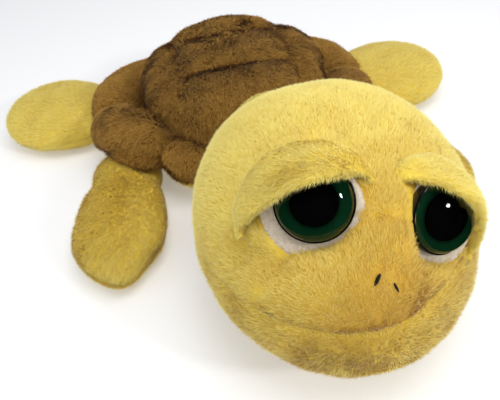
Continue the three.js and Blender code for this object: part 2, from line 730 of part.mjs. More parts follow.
function buildHead(parent) {
  const group = addGroup(parent, headFrame);
  const ball = solidOf(neckSocket());
  const floor = placed(geometryOf(slabBetween(-overrun, 0)), headFrame.clone().invert());
  const forBoth = (cut) => cut(sides.left).add(cut(sides.right));
  const pins = forBoth(shankHole);
  const pockets = forBoth((side) => feltPocket(side, 0)).add(pins);
  const outer = solidOf(headSurface(facets.head, 0));
  const seats = forBoth((side) => feltPocket(side, plush));
  const lining = solidOf(headSurface(facets.headLining, plush)).subtract(seats);
  const washers = forBoth(washerPocket);
  const skin = outer.subtract(lining).subtract(ball).subtract(pockets).subtract(washers).subtract(floor);
  addMesh(group, "head_upper", largestPart(skin.subtract(jawSide(0))), plushYellow());
  addMesh(group, "head_jaw", largestPart(skin.intersect(jawSide(clearance))), plushYellow());
  const filled = solidOf(headSurface(facets.headLining, plush + clearance)).subtract(ball).subtract(pins);
  const behind = forBoth((side) => feltPocket(side, plush + clearance));
  const emptied = filled.subtract(behind).subtract(washers);
  addMesh(group, "head_stuffing", emptied, filling());
  const headHold = solidOf(headSurface(facets.head, -clearance));
  for (const [word, side] of Object.entries(sides)) {
    addMesh(group, `upper_eyelid_${word}`, eyelid(side, headHold), plushYellow());
    buildEye(group, word);
  }
}

// Neck

function buildNeck(parent) {
  const group = addGroup(parent, neckFrame);
  const ball = solidOf(neckBall(neck.radius));
  const length = 2 * neck.radius + overrun;
  const bore = (radius) => solidOf(new THREE.CylinderGeometry(radius, radius, length, facets.round));
  const core = solidOf(neckBall(neck.radius - plush, facets.ballCore));
  const sleeve = ball.subtract(core).subtract(bore(neck.sleeveOpening));
  const plug = ball.intersect(bore(neck.sleeveOpening - clearance));
  const fill = solidOf(neckBall(neck.radius - plush - clearance, facets.ballCore)).add(plug);
  addMesh(group, "neck_sleeve", sleeve, plushYellow());
  addMesh(group, "neck_stuffing", fill, filling());
}

const turtle = new THREE.Group();
turtle.name = "plush_turtle";
const rootHolds = flippers.map(({ spec, frame }) => placed(rootSocket(spec), frame));
const holds = {
  roots: rootHolds.reduce((all, hold) => all.add(hold)),
  fans: flippers.map(flipperFan).reduce((all, fan) => all.add(fan)),
};
buildTorso(turtle, holds);
buildRim(turtle, holds);
buildNeck(turtle);
buildHead(turtle);
flippers.forEach((flipper) => buildFlipper(turtle, flipper));

export default turtle;
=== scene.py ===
"""Plush sea turtle: sewn skins with a real pile, stuffing and safety eyes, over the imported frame.

Metres, +Z up. The body looks towards -Y and the turtle's left side is +X.
"""

from __future__ import annotations

import json
import logging
import math
import zlib
from dataclasses import dataclass, field
from enum import Enum

import bmesh
import bpy
import numpy as np
from mathutils import Matrix, Vector
from mathutils.bvhtree import BVHTree
from mathutils.kdtree import KDTree

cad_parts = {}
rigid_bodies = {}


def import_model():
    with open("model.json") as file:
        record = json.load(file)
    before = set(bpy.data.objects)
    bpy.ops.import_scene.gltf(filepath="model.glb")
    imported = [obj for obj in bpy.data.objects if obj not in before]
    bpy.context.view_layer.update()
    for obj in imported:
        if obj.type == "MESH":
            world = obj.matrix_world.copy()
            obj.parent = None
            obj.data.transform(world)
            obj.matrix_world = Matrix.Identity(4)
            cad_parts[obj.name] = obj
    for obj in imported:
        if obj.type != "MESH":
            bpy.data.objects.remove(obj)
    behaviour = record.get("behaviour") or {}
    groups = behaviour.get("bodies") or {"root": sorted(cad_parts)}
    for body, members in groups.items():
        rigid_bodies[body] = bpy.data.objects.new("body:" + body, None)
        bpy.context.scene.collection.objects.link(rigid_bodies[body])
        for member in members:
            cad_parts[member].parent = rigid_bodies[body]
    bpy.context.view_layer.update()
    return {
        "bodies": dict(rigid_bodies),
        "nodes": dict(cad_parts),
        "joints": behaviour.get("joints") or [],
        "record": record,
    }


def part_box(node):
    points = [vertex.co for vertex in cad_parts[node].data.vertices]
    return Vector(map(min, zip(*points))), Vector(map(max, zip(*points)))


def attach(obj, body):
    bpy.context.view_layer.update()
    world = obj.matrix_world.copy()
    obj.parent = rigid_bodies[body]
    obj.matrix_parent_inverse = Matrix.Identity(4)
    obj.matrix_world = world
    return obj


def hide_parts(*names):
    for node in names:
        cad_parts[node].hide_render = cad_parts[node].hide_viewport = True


log = logging.getLogger("plush_turtle")

MM = 0.001
PILE_MAP = "OFBake"  # u is the tint of a tuft and v its height, from the backing to the tip
SAME_PLACE = 1e-6  # vertices nearer than this are one
FLOOR_PRESS = 0.1 * MM  # the pile lies flat where the toy rests

Colour = tuple[float, float, float]
Place = tuple[float, float, float]
Profile = tuple[float, float]  # radius and height of a point of a turned piece


class Side(Enum):
    """The turtle's own left and right."""

    LEFT = "left"
    RIGHT = "right"


class End(Enum):
    """The turtle's two ends."""

    FRONT = "front"
    REAR = "rear"


class Slot(Enum):
    """The record's material slots."""

    YELLOW = "yellow_plush"
    BROWN = "brown_plush"
    FIBRE = "fibre_filling"
    PELLETS = "pellet_bag_cloth"
    FELT = "cream_felt"
    BLACK = "black_plastic"
    GREEN = "green_plastic"
    CLEAR = "clear_plastic"
    WHITE = "white_plastic"


# Shader building


class Socket:
    """An output socket whose maths is written as Python expressions."""

    def __init__(self, tree: ShaderTree, source: bpy.types.NodeSocket) -> None:
        """Wraps source, an output of one of the tree's nodes."""
        self.tree = tree
        self.source = source

    def __mul__(self, other: float | Socket) -> Socket:
        """The product."""
        node = self.tree.node("ShaderNodeMath", {"operation": "MULTIPLY"}, {0: self, 1: other})
        return Socket(self.tree, node.outputs[0])

    __rmul__ = __mul__


class ShaderTree:
    """One material's nodes."""

    def __init__(self, name: str) -> None:
        """Starts an empty material.

        Args:
            name: the material's name.
        """
        self.material = bpy.data.materials.new(name)
        self.material.use_nodes = True
        self.tree = self.material.node_tree
        self.tree.nodes.clear()

    def node(
        self,
        kind: str,
        settings: dict[str, object] | None = None,
        values: dict[str | int, object] | None = None,
    ) -> bpy.types.Node:
        """Adds a node.

        Args:
            kind: the node's type.
            settings: its properties, and a ramp's stops under "stops".
            values: numbers, colours, sockets or wrapped sockets by input name or number.

        Returns:
            The new node.
        """
        made = self.tree.nodes.new(kind)
        for key, value in (settings or {}).items():
            if key == "stops":
                self._set_stops(made.color_ramp, value)
            else:
                setattr(made, key, value)
        for key, value in (values or {}).items():
            if isinstance(value, Socket):
                value = value.source
            if isinstance(value, bpy.types.NodeSocket):
                self.tree.links.new(value, made.inputs[key])
            else:
                made.inputs[key].default_value = value
        return made

    @staticmethod
    def _set_stops(ramp: bpy.types.ColorRamp, stops: list[tuple[float, Colour]]) -> None:
        """Gives a ramp its stops.

        Args:
            ramp: a new node's ramp, which has two stops.
            stops: position and colour of each.
        """
        while len(ramp.elements) < len(stops):
            ramp.elements.new(1.0)
        for element, (position, colour) in zip(ramp.elements, stops):
            element.position = position
            element.color = (*colour, 1.0)

    def pick(self, node: bpy.types.Node, output: str | int) -> Socket:
        """A node's output, wrapped."""
        return Socket(self, node.outputs[output])

    def ramp(self, factor: Socket, stops: list[tuple[float, Colour]]) -> Socket:
        """A colour ramp read at factor."""
        return self.pick(self.node("ShaderNodeValToRGB", {"stops": stops}, {"Fac": factor}), "Color")

    def mix(self, factor: Socket, first: Socket, second: Socket) -> Socket:
        """Mixes two colours.

        Args:
            factor: 0 gives the first and 1 the second.
            first: a colour.
            second: the other colour.

        Returns:
            The mixed colour.
        """
        made = self.node("ShaderNodeMix", {"data_type": "RGBA"}, {0: factor})
        for name, colour in (("A", first), ("B", second)):
            socket = next(s for s in made.inputs if s.name == name and s.type == "RGBA")
            self.tree.links.new(colour.source, socket)
        return Socket(self, next(s for s in made.outputs if s.type == "RGBA"))

    def finish(self, shader: bpy.types.Node) -> bpy.types.Material:
        """Ends the tree with shader and returns the material."""
        self.node("ShaderNodeOutputMaterial", None, {"Surface": shader.outputs[0]})
        return self.material

    def principled(self, **values: object) -> bpy.types.Node:
        """Adds the main shader; sockets are named with underscores for spaces."""
        named = {key.replace("_", " "): value for key, value in values.items()}
        return self.node("ShaderNodeBsdfPrincipled", None, named)


# Finishes


@dataclass(frozen=True)
class PlushFinish:
    """Knitted plush: three colours along a tuft, darker at the root as painted shade between the tufts
    and paler at the tip, partly painted highlight, in a fresh and in a deeper tint.
    """

    name: str
    fresh: tuple[Colour, Colour, Colour]  # backing, middle and tip of a tuft: the dark backing is painted shade, the pale tip partly painted highlight
    deep_and_shaded: tuple[Colour, Colour, Colour]
    sheen: float = 0.35

    def material(self) -> bpy.types.Material:
        """Builds the material.

        Returns:
            The material, which a wardrobe keeps.
        """
        tree = ShaderTree(self.name)
        place = tree.node("ShaderNodeUVMap", {"uv_map": PILE_MAP})
        parts = tree.node("ShaderNodeSeparateXYZ", None, {"Vector": place.outputs["UV"]})
        height = tree.pick(parts, "Y")
        steps = (0.0, 0.5, 1.0)
        colour = tree.mix(
            tree.pick(parts, "X"),
            tree.ramp(height, list(zip(steps, self.fresh))),
            tree.ramp(height, list(zip(steps, self.deep_and_shaded))),
        )
        shader = tree.principled(
            Base_Color=colour,
            Roughness=0.82,
            Specular_IOR_Level=0.08,
            Sheen_Weight=self.sheen,
            Sheen_Roughness=0.45,
        )
        return tree.finish(shader)


@dataclass(frozen=True)
class ClothFinish:
    """Felt, filling or bag cloth: a matt colour with a fine mottle."""

    name: str
    light: Colour
    dark: Colour
    grain: float  # mottles in a metre
    relief: float = 0.3
    depth: float = 0.6 * MM

    def material(self) -> bpy.types.Material:
        """Builds the material.

        Returns:
            The material, which a wardrobe keeps.
        """
        tree = ShaderTree(self.name)
        place = tree.node("ShaderNodeTexCoord")
        noise = tree.node(
            "ShaderNodeTexNoise",
            None,
            {"Vector": place.outputs["Object"], "Scale": self.grain, "Detail": 3.0, "Roughness": 0.6},
        )
        mottle = tree.pick(noise, 0)
        bump = tree.node(
            "ShaderNodeBump", None, {"Height": mottle, "Strength": self.relief, "Distance": self.depth}
        )
        shader = tree.principled(
            Base_Color=tree.ramp(mottle, [(0.3, self.dark), (0.7, self.light)]),
            Roughness=0.9,
            Specular_IOR_Level=0.15,
            Sheen_Weight=0.3,
            Normal=bump.outputs[0],
        )
        return tree.finish(shader)


@dataclass(frozen=True)
class PlasticFinish:
    """Moulded plastic of one colour."""

    name: str
    colour: Colour
    roughness: float
    clear: bool = False
    shine: float = 0.5  # specular level

    def material(self) -> bpy.types.Material:
        """Builds the material.

        Returns:
            The material, which a wardrobe keeps.
        """
        tree = ShaderTree(self.name)
        shader = tree.principled(
            Base_Color=(*self.colour, 1.0),
            Roughness=self.roughness,
            IOR=1.42 if self.clear else 1.49,
            Specular_IOR_Level=self.shine,
            Transmission_Weight=1.0 if self.clear else 0.0,
        )
        return tree.finish(shader)


@dataclass(frozen=True)
class IrisFinish:
    """Green foil behind the clear dome, darker at its edge and round the pupil."""

    name: str
    green: Colour
    glow: Colour
    edge: Colour
    rings: tuple[float, ...] = (0.5, 0.66, 0.84, 0.93, 1.0)  # shares of the radius, from the pupil out

    def material(self) -> bpy.types.Material:
        """Builds the material.

        Returns:
            The material, which a wardrobe keeps.
        """
        tree = ShaderTree(self.name)
        place = tree.node("ShaderNodeUVMap", {"uv_map": PILE_MAP})
        ends = {0: place.outputs["UV"], 1: (0.5, 0.5, 0.0)}  # the map's middle is the eye's axis
        offset = tree.node("ShaderNodeVectorMath", {"operation": "SUBTRACT"}, ends)
        reach = tree.node("ShaderNodeVectorMath", {"operation": "LENGTH"}, {0: offset.outputs[0]})
        share = tree.pick(reach, "Value") * 2.0
        colours = (self.edge, self.green, self.glow, self.green, self.edge)
        colour = tree.ramp(share, list(zip(self.rings, colours)))
        return tree.finish(tree.principled(Base_Color=colour, Roughness=0.9, Specular_IOR_Level=0.0))


Finish = PlushFinish | ClothFinish | PlasticFinish | IrisFinish

# Each palette darkens at the backing as painted shade between the tufts and pales at the tip, partly
# painted highlight.
YELLOW_PLUSH = PlushFinish(
    "YellowPlush",
    fresh=((0.80, 0.565, 0.040), (0.89, 0.705, 0.100), (0.97, 0.88, 0.34)),
    deep_and_shaded=((0.52, 0.27, 0.026), (0.67, 0.41, 0.048), (0.80, 0.56, 0.12)),
)
BROWN_PLUSH = PlushFinish(
    "BrownPlush",
    fresh=((0.110, 0.047, 0.008), (0.310, 0.150, 0.026), (0.58, 0.33, 0.075)),
    deep_and_shaded=((0.040, 0.017, 0.003), (0.120, 0.052, 0.010), (0.25, 0.120, 0.026)),
    sheen=0.08,
)
FIBRE = ClothFinish("PolyesterFibre", (0.86, 0.85, 0.80), (0.70, 0.69, 0.64), 420.0, 0.8)
BAG_CLOTH = ClothFinish("PelletBagCloth", (0.66, 0.64, 0.58), (0.50, 0.48, 0.43), 900.0)
# cream felt darkened towards beige: partly painted shade
FELT = ClothFinish("CreamFelt", (0.74, 0.65, 0.52), (0.56, 0.46, 0.34), 650.0, 0.7)
BLACK_PLASTIC = PlasticFinish("BlackPlastic", (0.006, 0.006, 0.006), 0.18)
PUPIL_PAINT = PlasticFinish("PupilPaint", (0.002, 0.002, 0.002), 0.9, shine=0.0)
CLEAR_PLASTIC = PlasticFinish("ClearPlastic", (1.0, 1.0, 1.0), 0.005, clear=True)
WHITE_PLASTIC = PlasticFinish("WhitePlastic", (0.80, 0.80, 0.78), 0.35)
THREAD = PlasticFinish("BlackThread", (0.012, 0.010, 0.010), 0.6)
IRIS = IrisFinish("GreenIris", (0.004, 0.034, 0.013), (0.006, 0.054, 0.020), (0.001, 0.005, 0.002))


@dataclass
class Wardrobe:
    """The materials, each built once and shared."""

    made: dict[str, bpy.types.Material] = field(default_factory=dict)

    def dress(self, piece: bpy.types.Object, finish: Finish, slot: Slot) -> None:
        """Puts a finish on a piece.

        Args:
            piece: the piece to dress.
            finish: one of the finishes above.
            slot: the record's slot that the finish stands for; not used.
        """
        if finish.name not in self.made:
            self.made[finish.name] = finish.material()
        piece.data.materials.clear()
        piece.data.materials.append(self.made[finish.name])


# Meshes and arrays


def mesh_from(bm: bmesh.types.BMesh, name: str) -> bpy.types.Mesh:
    """Ends a bmesh.

    Args:
        bm: the bmesh, which is freed.
        name: the mesh's name.

    Returns:
        The mesh.
    """
    mesh = bpy.data.meshes.new(name)
    bm.to_mesh(mesh)
    bm.free()
    return mesh


def add_object(name: str, data: bpy.types.ID) -> bpy.types.Object:
    """Adds an object to the scene.

    Args:
        name: the object's name.
        data: its mesh, light or camera.

    Returns:
        The object, at the origin.
    """
    made = bpy.data.objects.new(name, data)
    bpy.context.scene.collection.objects.link(made)
    return made


def read(items: bpy.types.bpy_prop_collection, word: str, kind: type, width: int = 1) -> np.ndarray:
    """Reads one property of all items.

    Args:
        items: a mesh's vertices, corners or faces.
        word: the property.
        kind: the type of its numbers.
        width: how many numbers each item has.

    Returns:
        One value or row for each item.
    """
    out = np.empty(len(items) * width, kind)
    items.foreach_get(word, out)
    return out.reshape(-1, width) if width > 1 else out


@dataclass
class Cloth:
    """A mesh held as arrays, so that a pile of many tufts is quick to add."""

    points: np.ndarray  # one row a vertex
    normals: np.ndarray  # the way each vertex is shaded
    corners: np.ndarray  # vertex of each face corner
    totals: np.ndarray  # corners of each face
    uv: np.ndarray  # one row a corner

    def joined(self, other: Cloth) -> Cloth:
        """This mesh and the other as one."""
        return Cloth(
            np.concatenate([self.points, other.points]),
            np.concatenate([self.normals, other.normals]),
            np.concatenate([self.corners, other.corners + len(self.points)]),
            np.concatenate([self.totals, other.totals]),
            np.concatenate([self.uv, other.uv]),
        )

    def mesh(self, name: str) -> bpy.types.Mesh:
        """Makes the arrays a smooth-shaded Blender mesh.

        Args:
            name: the mesh's name.

        Returns:
            The mesh, with its map and its custom normals.
        """
        made = bpy.data.meshes.new(name)
        made.vertices.add(len(self.points))
        made.vertices.foreach_set("co", self.points.astype(np.float32).ravel())
        made.loops.add(len(self.corners))
        made.loops.foreach_set("vertex_index", self.corners.astype(np.int32))
        made.polygons.add(len(self.totals))
        starts = np.concatenate([[0], np.cumsum(self.totals)[:-1]])
        made.polygons.foreach_set("loop_start", starts.astype(np.int32))
        layer = made.uv_layers.new(name=PILE_MAP)
        layer.data.foreach_set("uv", self.uv.astype(np.float32).ravel())
        made.update(calc_edges=True)
        made.shade_smooth()
        shading = made.attributes.new("custom_normal", "FLOAT_VECTOR", "POINT")
        shading.data.foreach_set("vector", self.normals.astype(np.float32).ravel())
        return made


def unit(rows: np.ndarray) -> np.ndarray:
    """Each row at length 1."""
    return rows / np.maximum(np.linalg.norm(rows, axis=-1, keepdims=True), 1e-9)


def seed_of(name: str) -> int:
    """A number that belongs to a name."""
    return zlib.crc32(name.encode())


WAVES = 7  # crossing waves in one noise
WAVE_STRETCH = (0.6, 1.5)  # the least and the most that one wave is stretched


def fade(points: np.ndarray, middle: Place, reach: float) -> np.ndarray:
    """A spot's strength round its middle.

    Args:
        points: one row a point.
        middle: where it is 1.
        reach: how far from there it has fallen to about a third.

    Returns:
        One share for each point.
    """
    away = np.linalg.norm(points - np.array(middle), axis=1)
    return np.exp(-((away / reach) ** 2))


def wave_noise(points: np.ndarray, size: float, seed: int, width: int = 3) -> np.ndarray:
    """Smooth noise from a few crossing waves.

    Args:
        points: one row a point, in metres.
        size: typical width of a bump, in metres.
        seed: picks the waves.
        width: numbers wanted for each point.

    Returns:
        One row of values about -1 to 1 for each point.
    """
    rng = np.random.default_rng(seed)
    out = np.zeros((len(points), width))
    for _ in range(WAVES):
        direction = unit(rng.normal(size=(3, width)).T).T
        phase = rng.uniform(0, 2 * math.pi, width)
        out += np.sin(points @ direction * (math.pi / size) * rng.uniform(*WAVE_STRETCH) + phase)
    return out / math.sqrt(WAVES)


# Pile


@dataclass(frozen=True)
class Pile:
    """How a plush's pile stands: lengths in metres, lean in degrees from upright."""

    length: float
    width: float
    per_square_mm: float
    lean: float = 52.0
    ruffle: float = 0.55  # how far swirls turn the tufts away from the comb
    clump: float = 4.5 * MM  # width of a lock of tufts
    gather: float = 0.4  # how far the tips of a lock come together
    backing_shade_tint: float = 0.1  # how much deeper the bare backing's tint is: painted shade under the pile
    mottle: float = 0.09  # how far the tint varies from lock to lock
    blotch: float = 0.09  # how far the tint varies over a panel
    bends: int = 2  # lengths that a tuft is made of
    relief: float = 0.45  # how much each tuft catches the light on its own
    stray: float = 0.42  # how far single tufts turn from the comb
    sway: float = 9.0  # degrees by which single tufts lean more or less
    drift: float = 5.0  # degrees by which whole areas do
    uneven: float = 0.14  # share by which the tufts' lengths vary
    coarse: float = 0.2  # share by which their widths vary
    twist: float = 0.12  # how far the blades turn round their own length


SHORT_YELLOW = Pile(3.8 * MM, 0.5 * MM, 4.8, ruffle=0.3, clump=2.8 * MM, gather=0.2, mottle=0.05,
                    relief=0.45, bends=1)
FACE_YELLOW = Pile(3.6 * MM, 0.47 * MM, 5.3, lean=56.0, ruffle=0.28, clump=2.8 * MM, gather=0.2,
                   mottle=0.05, relief=0.42, bends=1)
LID_YELLOW = Pile(3.5 * MM, 0.4 * MM, 8.0, lean=58.0, ruffle=0.25, clump=2.2 * MM, gather=0.2,
                  mottle=0.04, relief=0.4, bends=1)
LONG_BROWN = Pile(6.0 * MM, 0.55 * MM, 3.5, lean=58.0, ruffle=0.4, clump=3.0 * MM, gather=0.25,
                  mottle=0.07, relief=0.45)

SWIRL_SIZE = 9 * MM  # of the swirls in a pile
DRIFT_SIZE = 14 * MM  # of the areas that lean alike
LEAN_RANGE = (0.1, 1.45)  # radians from upright
LENGTH_RANGE = (0.15, 1.5)  # the shortest and the longest tuft, as shares of the pile's length
TIP_BEND, MIDDLE_BEND = 1.12, 0.8  # how far a tuft leans there, as a share of its lean
MIDDLE_RISE = 0.52  # the middle's place along a tuft
MIDDLE_GATHER = 0.35  # how far the middle follows its lock, as a share of the tip
ROOT_DEPTH = 0.6 * MM  # of a tuft's foot below the skin
MIDDLE_WIDTH = 0.85  # of a tuft of two lengths, as a share of its foot's
FOOT, TIP = 0.01, 0.99  # the places along a tuft before and past which its foot and its tip lie
LOCK_MOTTLE, TUFT_MOTTLE = 1.2, 3.5  # how far the tint varies from lock to lock and from tuft to tuft
EDGE_TINT = 0.02  # how much the tint varies across a tuft
TINT_RANGE, MAP_RANGE = (0.03, 0.97), (0.01, 0.99)  # of a tuft's middle and of its edges
ROOT_COLOUR, COLOUR_RISE = 0.18, 0.8  # the map's height at a tuft's root, and from there to its tip: low heights are the painted shade at the root, high ones the paler tip, partly painted highlight
SKIN_COLOUR = (0.25, 0.5)  # the map's height on the bare skin, low on the ramp: painted shade under the pile
SKIN_RANGE = (0.02, 0.98)  # the bare skin's tint
SKIN_SPECKLE = 0.05  # how much it varies from vertex to vertex


@dataclass(frozen=True)
class Tug:
    """A pull at one place that fades round it, on a skin that is sewn or a pile that is brushed."""

    middle: Place
    reach: float
    shift: Place

    def at(self, points: np.ndarray) -> np.ndarray:
        """The pull at each point."""
        return fade(points, self.middle, self.reach)[:, None] * np.array(self.shift)


@dataclass(frozen=True)
class Comb:
    """The way a pile was brushed: away from a point, along a pull, and another way at a whorl."""

    away_from: Place = (0.0, 0.0, 0.0)
    spread: float = 0.0
    pull: Place = (0.0, 0.0, -1.0)
    whorl: Tug | None = None

    def at(self, points: np.ndarray) -> np.ndarray:
        """The brushed direction at each point, not yet laid on the surface."""
        way = self.spread * unit(points - np.array(self.away_from)) + np.array(self.pull)
        return way if self.whorl is None else way + self.whorl.at(points)


def locks(roots: np.ndarray, size: float, area: float, seed: int) -> np.ndarray:
    """Sorts tufts into locks that lie together.

    Args:
        roots: where the tufts grow.
        size: a lock's width.
        area: the area that the tufts cover.
        seed: picks the locks' middles.

    Returns:
        The number of each tuft's lock.
    """
    count = max(1, min(len(roots), int(area / size**2)))
    middles = roots[np.random.default_rng(seed).choice(len(roots), count, replace=False)]
    tree = KDTree(count)
    for k, middle in enumerate(middles):
        tree.insert(middle, k)
    tree.balance()
    return np.array([tree.find(root)[1] for root in roots])


def tuft_shape(bends: int) -> tuple[np.ndarray, np.ndarray, np.ndarray]:
    """One tuft: a flat blade that narrows to a point.

    Args:
        bends: lengths that it is made of, 1 or 2.

    Returns:
        Its vertices as (across -0.5 to 0.5, along 0 to 1), the corners of its faces, and their totals.
    """
    bm = bmesh.new()
    bmesh.ops.create_grid(bm, x_segments=1, y_segments=bends, size=0.5)
    bmesh.ops.translate(bm, verts=bm.verts, vec=(0.0, 0.5, 0.0))
    tip = [v for v in bm.verts if v.co.y > TIP]
    bmesh.ops.scale(bm, verts=tip, vec=(0.0, 1.0, 1.0))
    middle = [v for v in bm.verts if 0.4 < v.co.y < 0.6]
    bmesh.ops.scale(bm, verts=middle, vec=(MIDDLE_WIDTH, 1.0, 1.0))
    bmesh.ops.remove_doubles(bm, verts=bm.verts, dist=1e-4)
    bm.verts.index_update()
    shape = np.array([(v.co.x, v.co.y) for v in bm.verts])
    corners = np.array([v.index for f in bm.faces for v in f.verts])
    totals = np.array([len(f.verts) for f in bm.faces])
    bm.free()
    return shape, corners, totals


@dataclass
class Skin:
    """A sewn skin's surface while its pile is planted: all arrays have one row a vertex."""

    cloth: Cloth
    triangles: np.ndarray
    bare: np.ndarray  # True where no pile shows: inner walls and seams
    length: np.ndarray  # share of the pile's full length
    comb: np.ndarray
    tint: np.ndarray

    def plant(self, pile: Pile, seed: int, most: int) -> Cloth:
        """Grows the pile.

        Args:
            pile: the plush's pile.
            seed: picks the places of the tufts.
            most: the largest number of tufts.

        Returns:
            The tufts as one mesh.
        """
        rng = np.random.default_rng(seed)
        open_faces = self.triangles[~self.bare[self.triangles].any(1)]
        corner = self.cloth.points[open_faces]
        cross = np.cross(corner[:, 1] - corner[:, 0], corner[:, 2] - corner[:, 0])
        area = np.linalg.norm(cross, axis=1) / 2
        count = int(min(most, area.sum() / MM**2 * pile.per_square_mm))
        chosen = rng.choice(len(area), count, p=area / area.sum())
        weights = rng.dirichlet((1.0, 1.0, 1.0), count)
        picked = open_faces[chosen]

        def spread(values: np.ndarray) -> np.ndarray:
            """Reads the vertices' values at the tufts' roots.

            Args:
                values: one value or row a vertex.

            Returns:
                One value or row a tuft.
            """
            if values.ndim == 1:
                return (values[picked] * weights).sum(1)
            return np.einsum("ijk,ij->ik", values[picked], weights)

        root, normal = spread(self.cloth.points), unit(spread(self.cloth.normals))
        flow = spread(self.comb) + pile.ruffle * wave_noise(root, SWIRL_SIZE, seed + 1)
        flow += pile.stray * rng.normal(size=flow.shape)
        flow = unit(flow - (flow * normal).sum(1, keepdims=True) * normal)
        drift = pile.drift * wave_noise(root, DRIFT_SIZE, seed + 2, 1)[:, 0]
        lean = np.radians(pile.lean + pile.sway * rng.normal(size=count) + drift)
        lean = np.clip(lean, *LEAN_RANGE)[:, None]
        grown = spread(self.length) * (1 + pile.uneven * rng.normal(size=count)) * pile.length
        grown = np.clip(grown, *(share * pile.length for share in LENGTH_RANGE))[:, None]
        tip = root + grown * (normal * np.cos(lean * TIP_BEND) + flow * np.sin(lean * TIP_BEND))
        bent = normal * np.cos(lean * MIDDLE_BEND) + flow * np.sin(lean * MIDDLE_BEND)
        middle = root + MIDDLE_RISE * grown * bent
        lock = locks(root, pile.clump, area.sum(), seed + 3)
        size = np.maximum(np.bincount(lock), 1)[:, None]
        centre = np.stack([np.bincount(lock, tip[:, k]) for k in range(3)], 1) / size
        tip += pile.gather * (centre[lock] - tip)
        middle += MIDDLE_GATHER * pile.gather * (centre[lock] - grown * 0.5 * normal - middle)
        side = unit(np.cross(flow, normal) + pile.twist * rng.normal(size=flow.shape))
        width = (pile.width * (1 + pile.coarse * rng.normal(size=count)))[:, None]
        base = root - ROOT_DEPTH * normal
        shape, corners, totals = tuft_shape(pile.bends)
        across, along = shape[:, 0], shape[:, 1]
        spine = [base + (tip - base) * a if a > TIP else base if a < FOOT else middle for a in along]
        points = np.stack([s + side * width * x for s, x in zip(spine, across)], 1)
        lock_tint = np.random.default_rng(seed + 4).normal(size=len(size))[lock]
        varied = LOCK_MOTTLE * lock_tint + TUFT_MOTTLE * rng.normal(size=count)
        tint = np.clip(spread(self.tint) + pile.mottle * varied, *TINT_RANGE)
        u = np.clip(tint[:, None] + EDGE_TINT * across[None, :], *MAP_RANGE)[:, corners]
        # each tuft's colour runs from painted shade at its root to a paler tip, partly painted highlight
        v = np.broadcast_to((ROOT_COLOUR + COLOUR_RISE * along)[corners], u.shape)
        points[..., 2] = np.maximum(points[..., 2], FLOOR_PRESS)
        blade = unit(np.cross(side, tip - base))
        shading = unit((1 - pile.relief) * normal + pile.relief * blade)
        return Cloth(
            points.reshape(-1, 3),
            np.repeat(shading, len(shape), axis=0),
            (corners[None, :] + len(shape) * np.arange(count)[:, None]).ravel(),
            np.tile(totals, count),
            np.stack([u, v], -1).reshape(-1, 2),
        )


# Soft pieces


@dataclass(frozen=True)
class Crease:
    """A line where the stuffed skin is drawn in by a stitch or a fold."""

    points: tuple[Place, ...]
    depth: float
    width: float
    bare: float = 0.5  # share of the pile's length that is lost along it

    def distance(self, places: np.ndarray) -> np.ndarray:
        """Measures how far places are from the line.

        Args:
            places: one row a place.

        Returns:
            One distance for each.
        """
        line = np.array(self.points)
        best = np.full(len(places), np.inf)
        for a, b in zip(line[:-1], line[1:]):
            run = b - a
            t = np.clip(((places - a) @ run) / (run @ run), 0, 1)[:, None]
            best = np.minimum(best, np.linalg.norm(places - a - t * run, axis=1))
        return best

    def hold(self, places: np.ndarray) -> np.ndarray:
        """1 on the line, falling to 0 beside it."""
        return np.exp(-((self.distance(places) / self.width) ** 2))


@dataclass(frozen=True)
class ToneAndShadeSpot:
    """A part of a panel whose plush takes a deeper tint, or a fresher one with an amount below 0; it
    carries painted shade and painted light as well as the plush's own tone.
    """

    middle: Place
    reach: float
    amount: float

    def at(self, points: np.ndarray) -> np.ndarray:
        """The added tint at each point."""
        return self.amount * fade(points, self.middle, self.reach)


FACING = 0.35  # cosine past which a face looks at its neighbour


def faces(tree: BVHTree, place: Vector, way: Vector, reach: float) -> bool:
    """Tells whether a surface looks at a near neighbour.

    Args:
        tree: the neighbour.
        place: a point of the surface.
        way: its normal there.
        reach: how near the neighbour must be.

    Returns:
        True if it does.
    """
    found = tree.find_nearest(place, reach)[0]
    return found is not None and (found - place).normalized().dot(way) > FACING


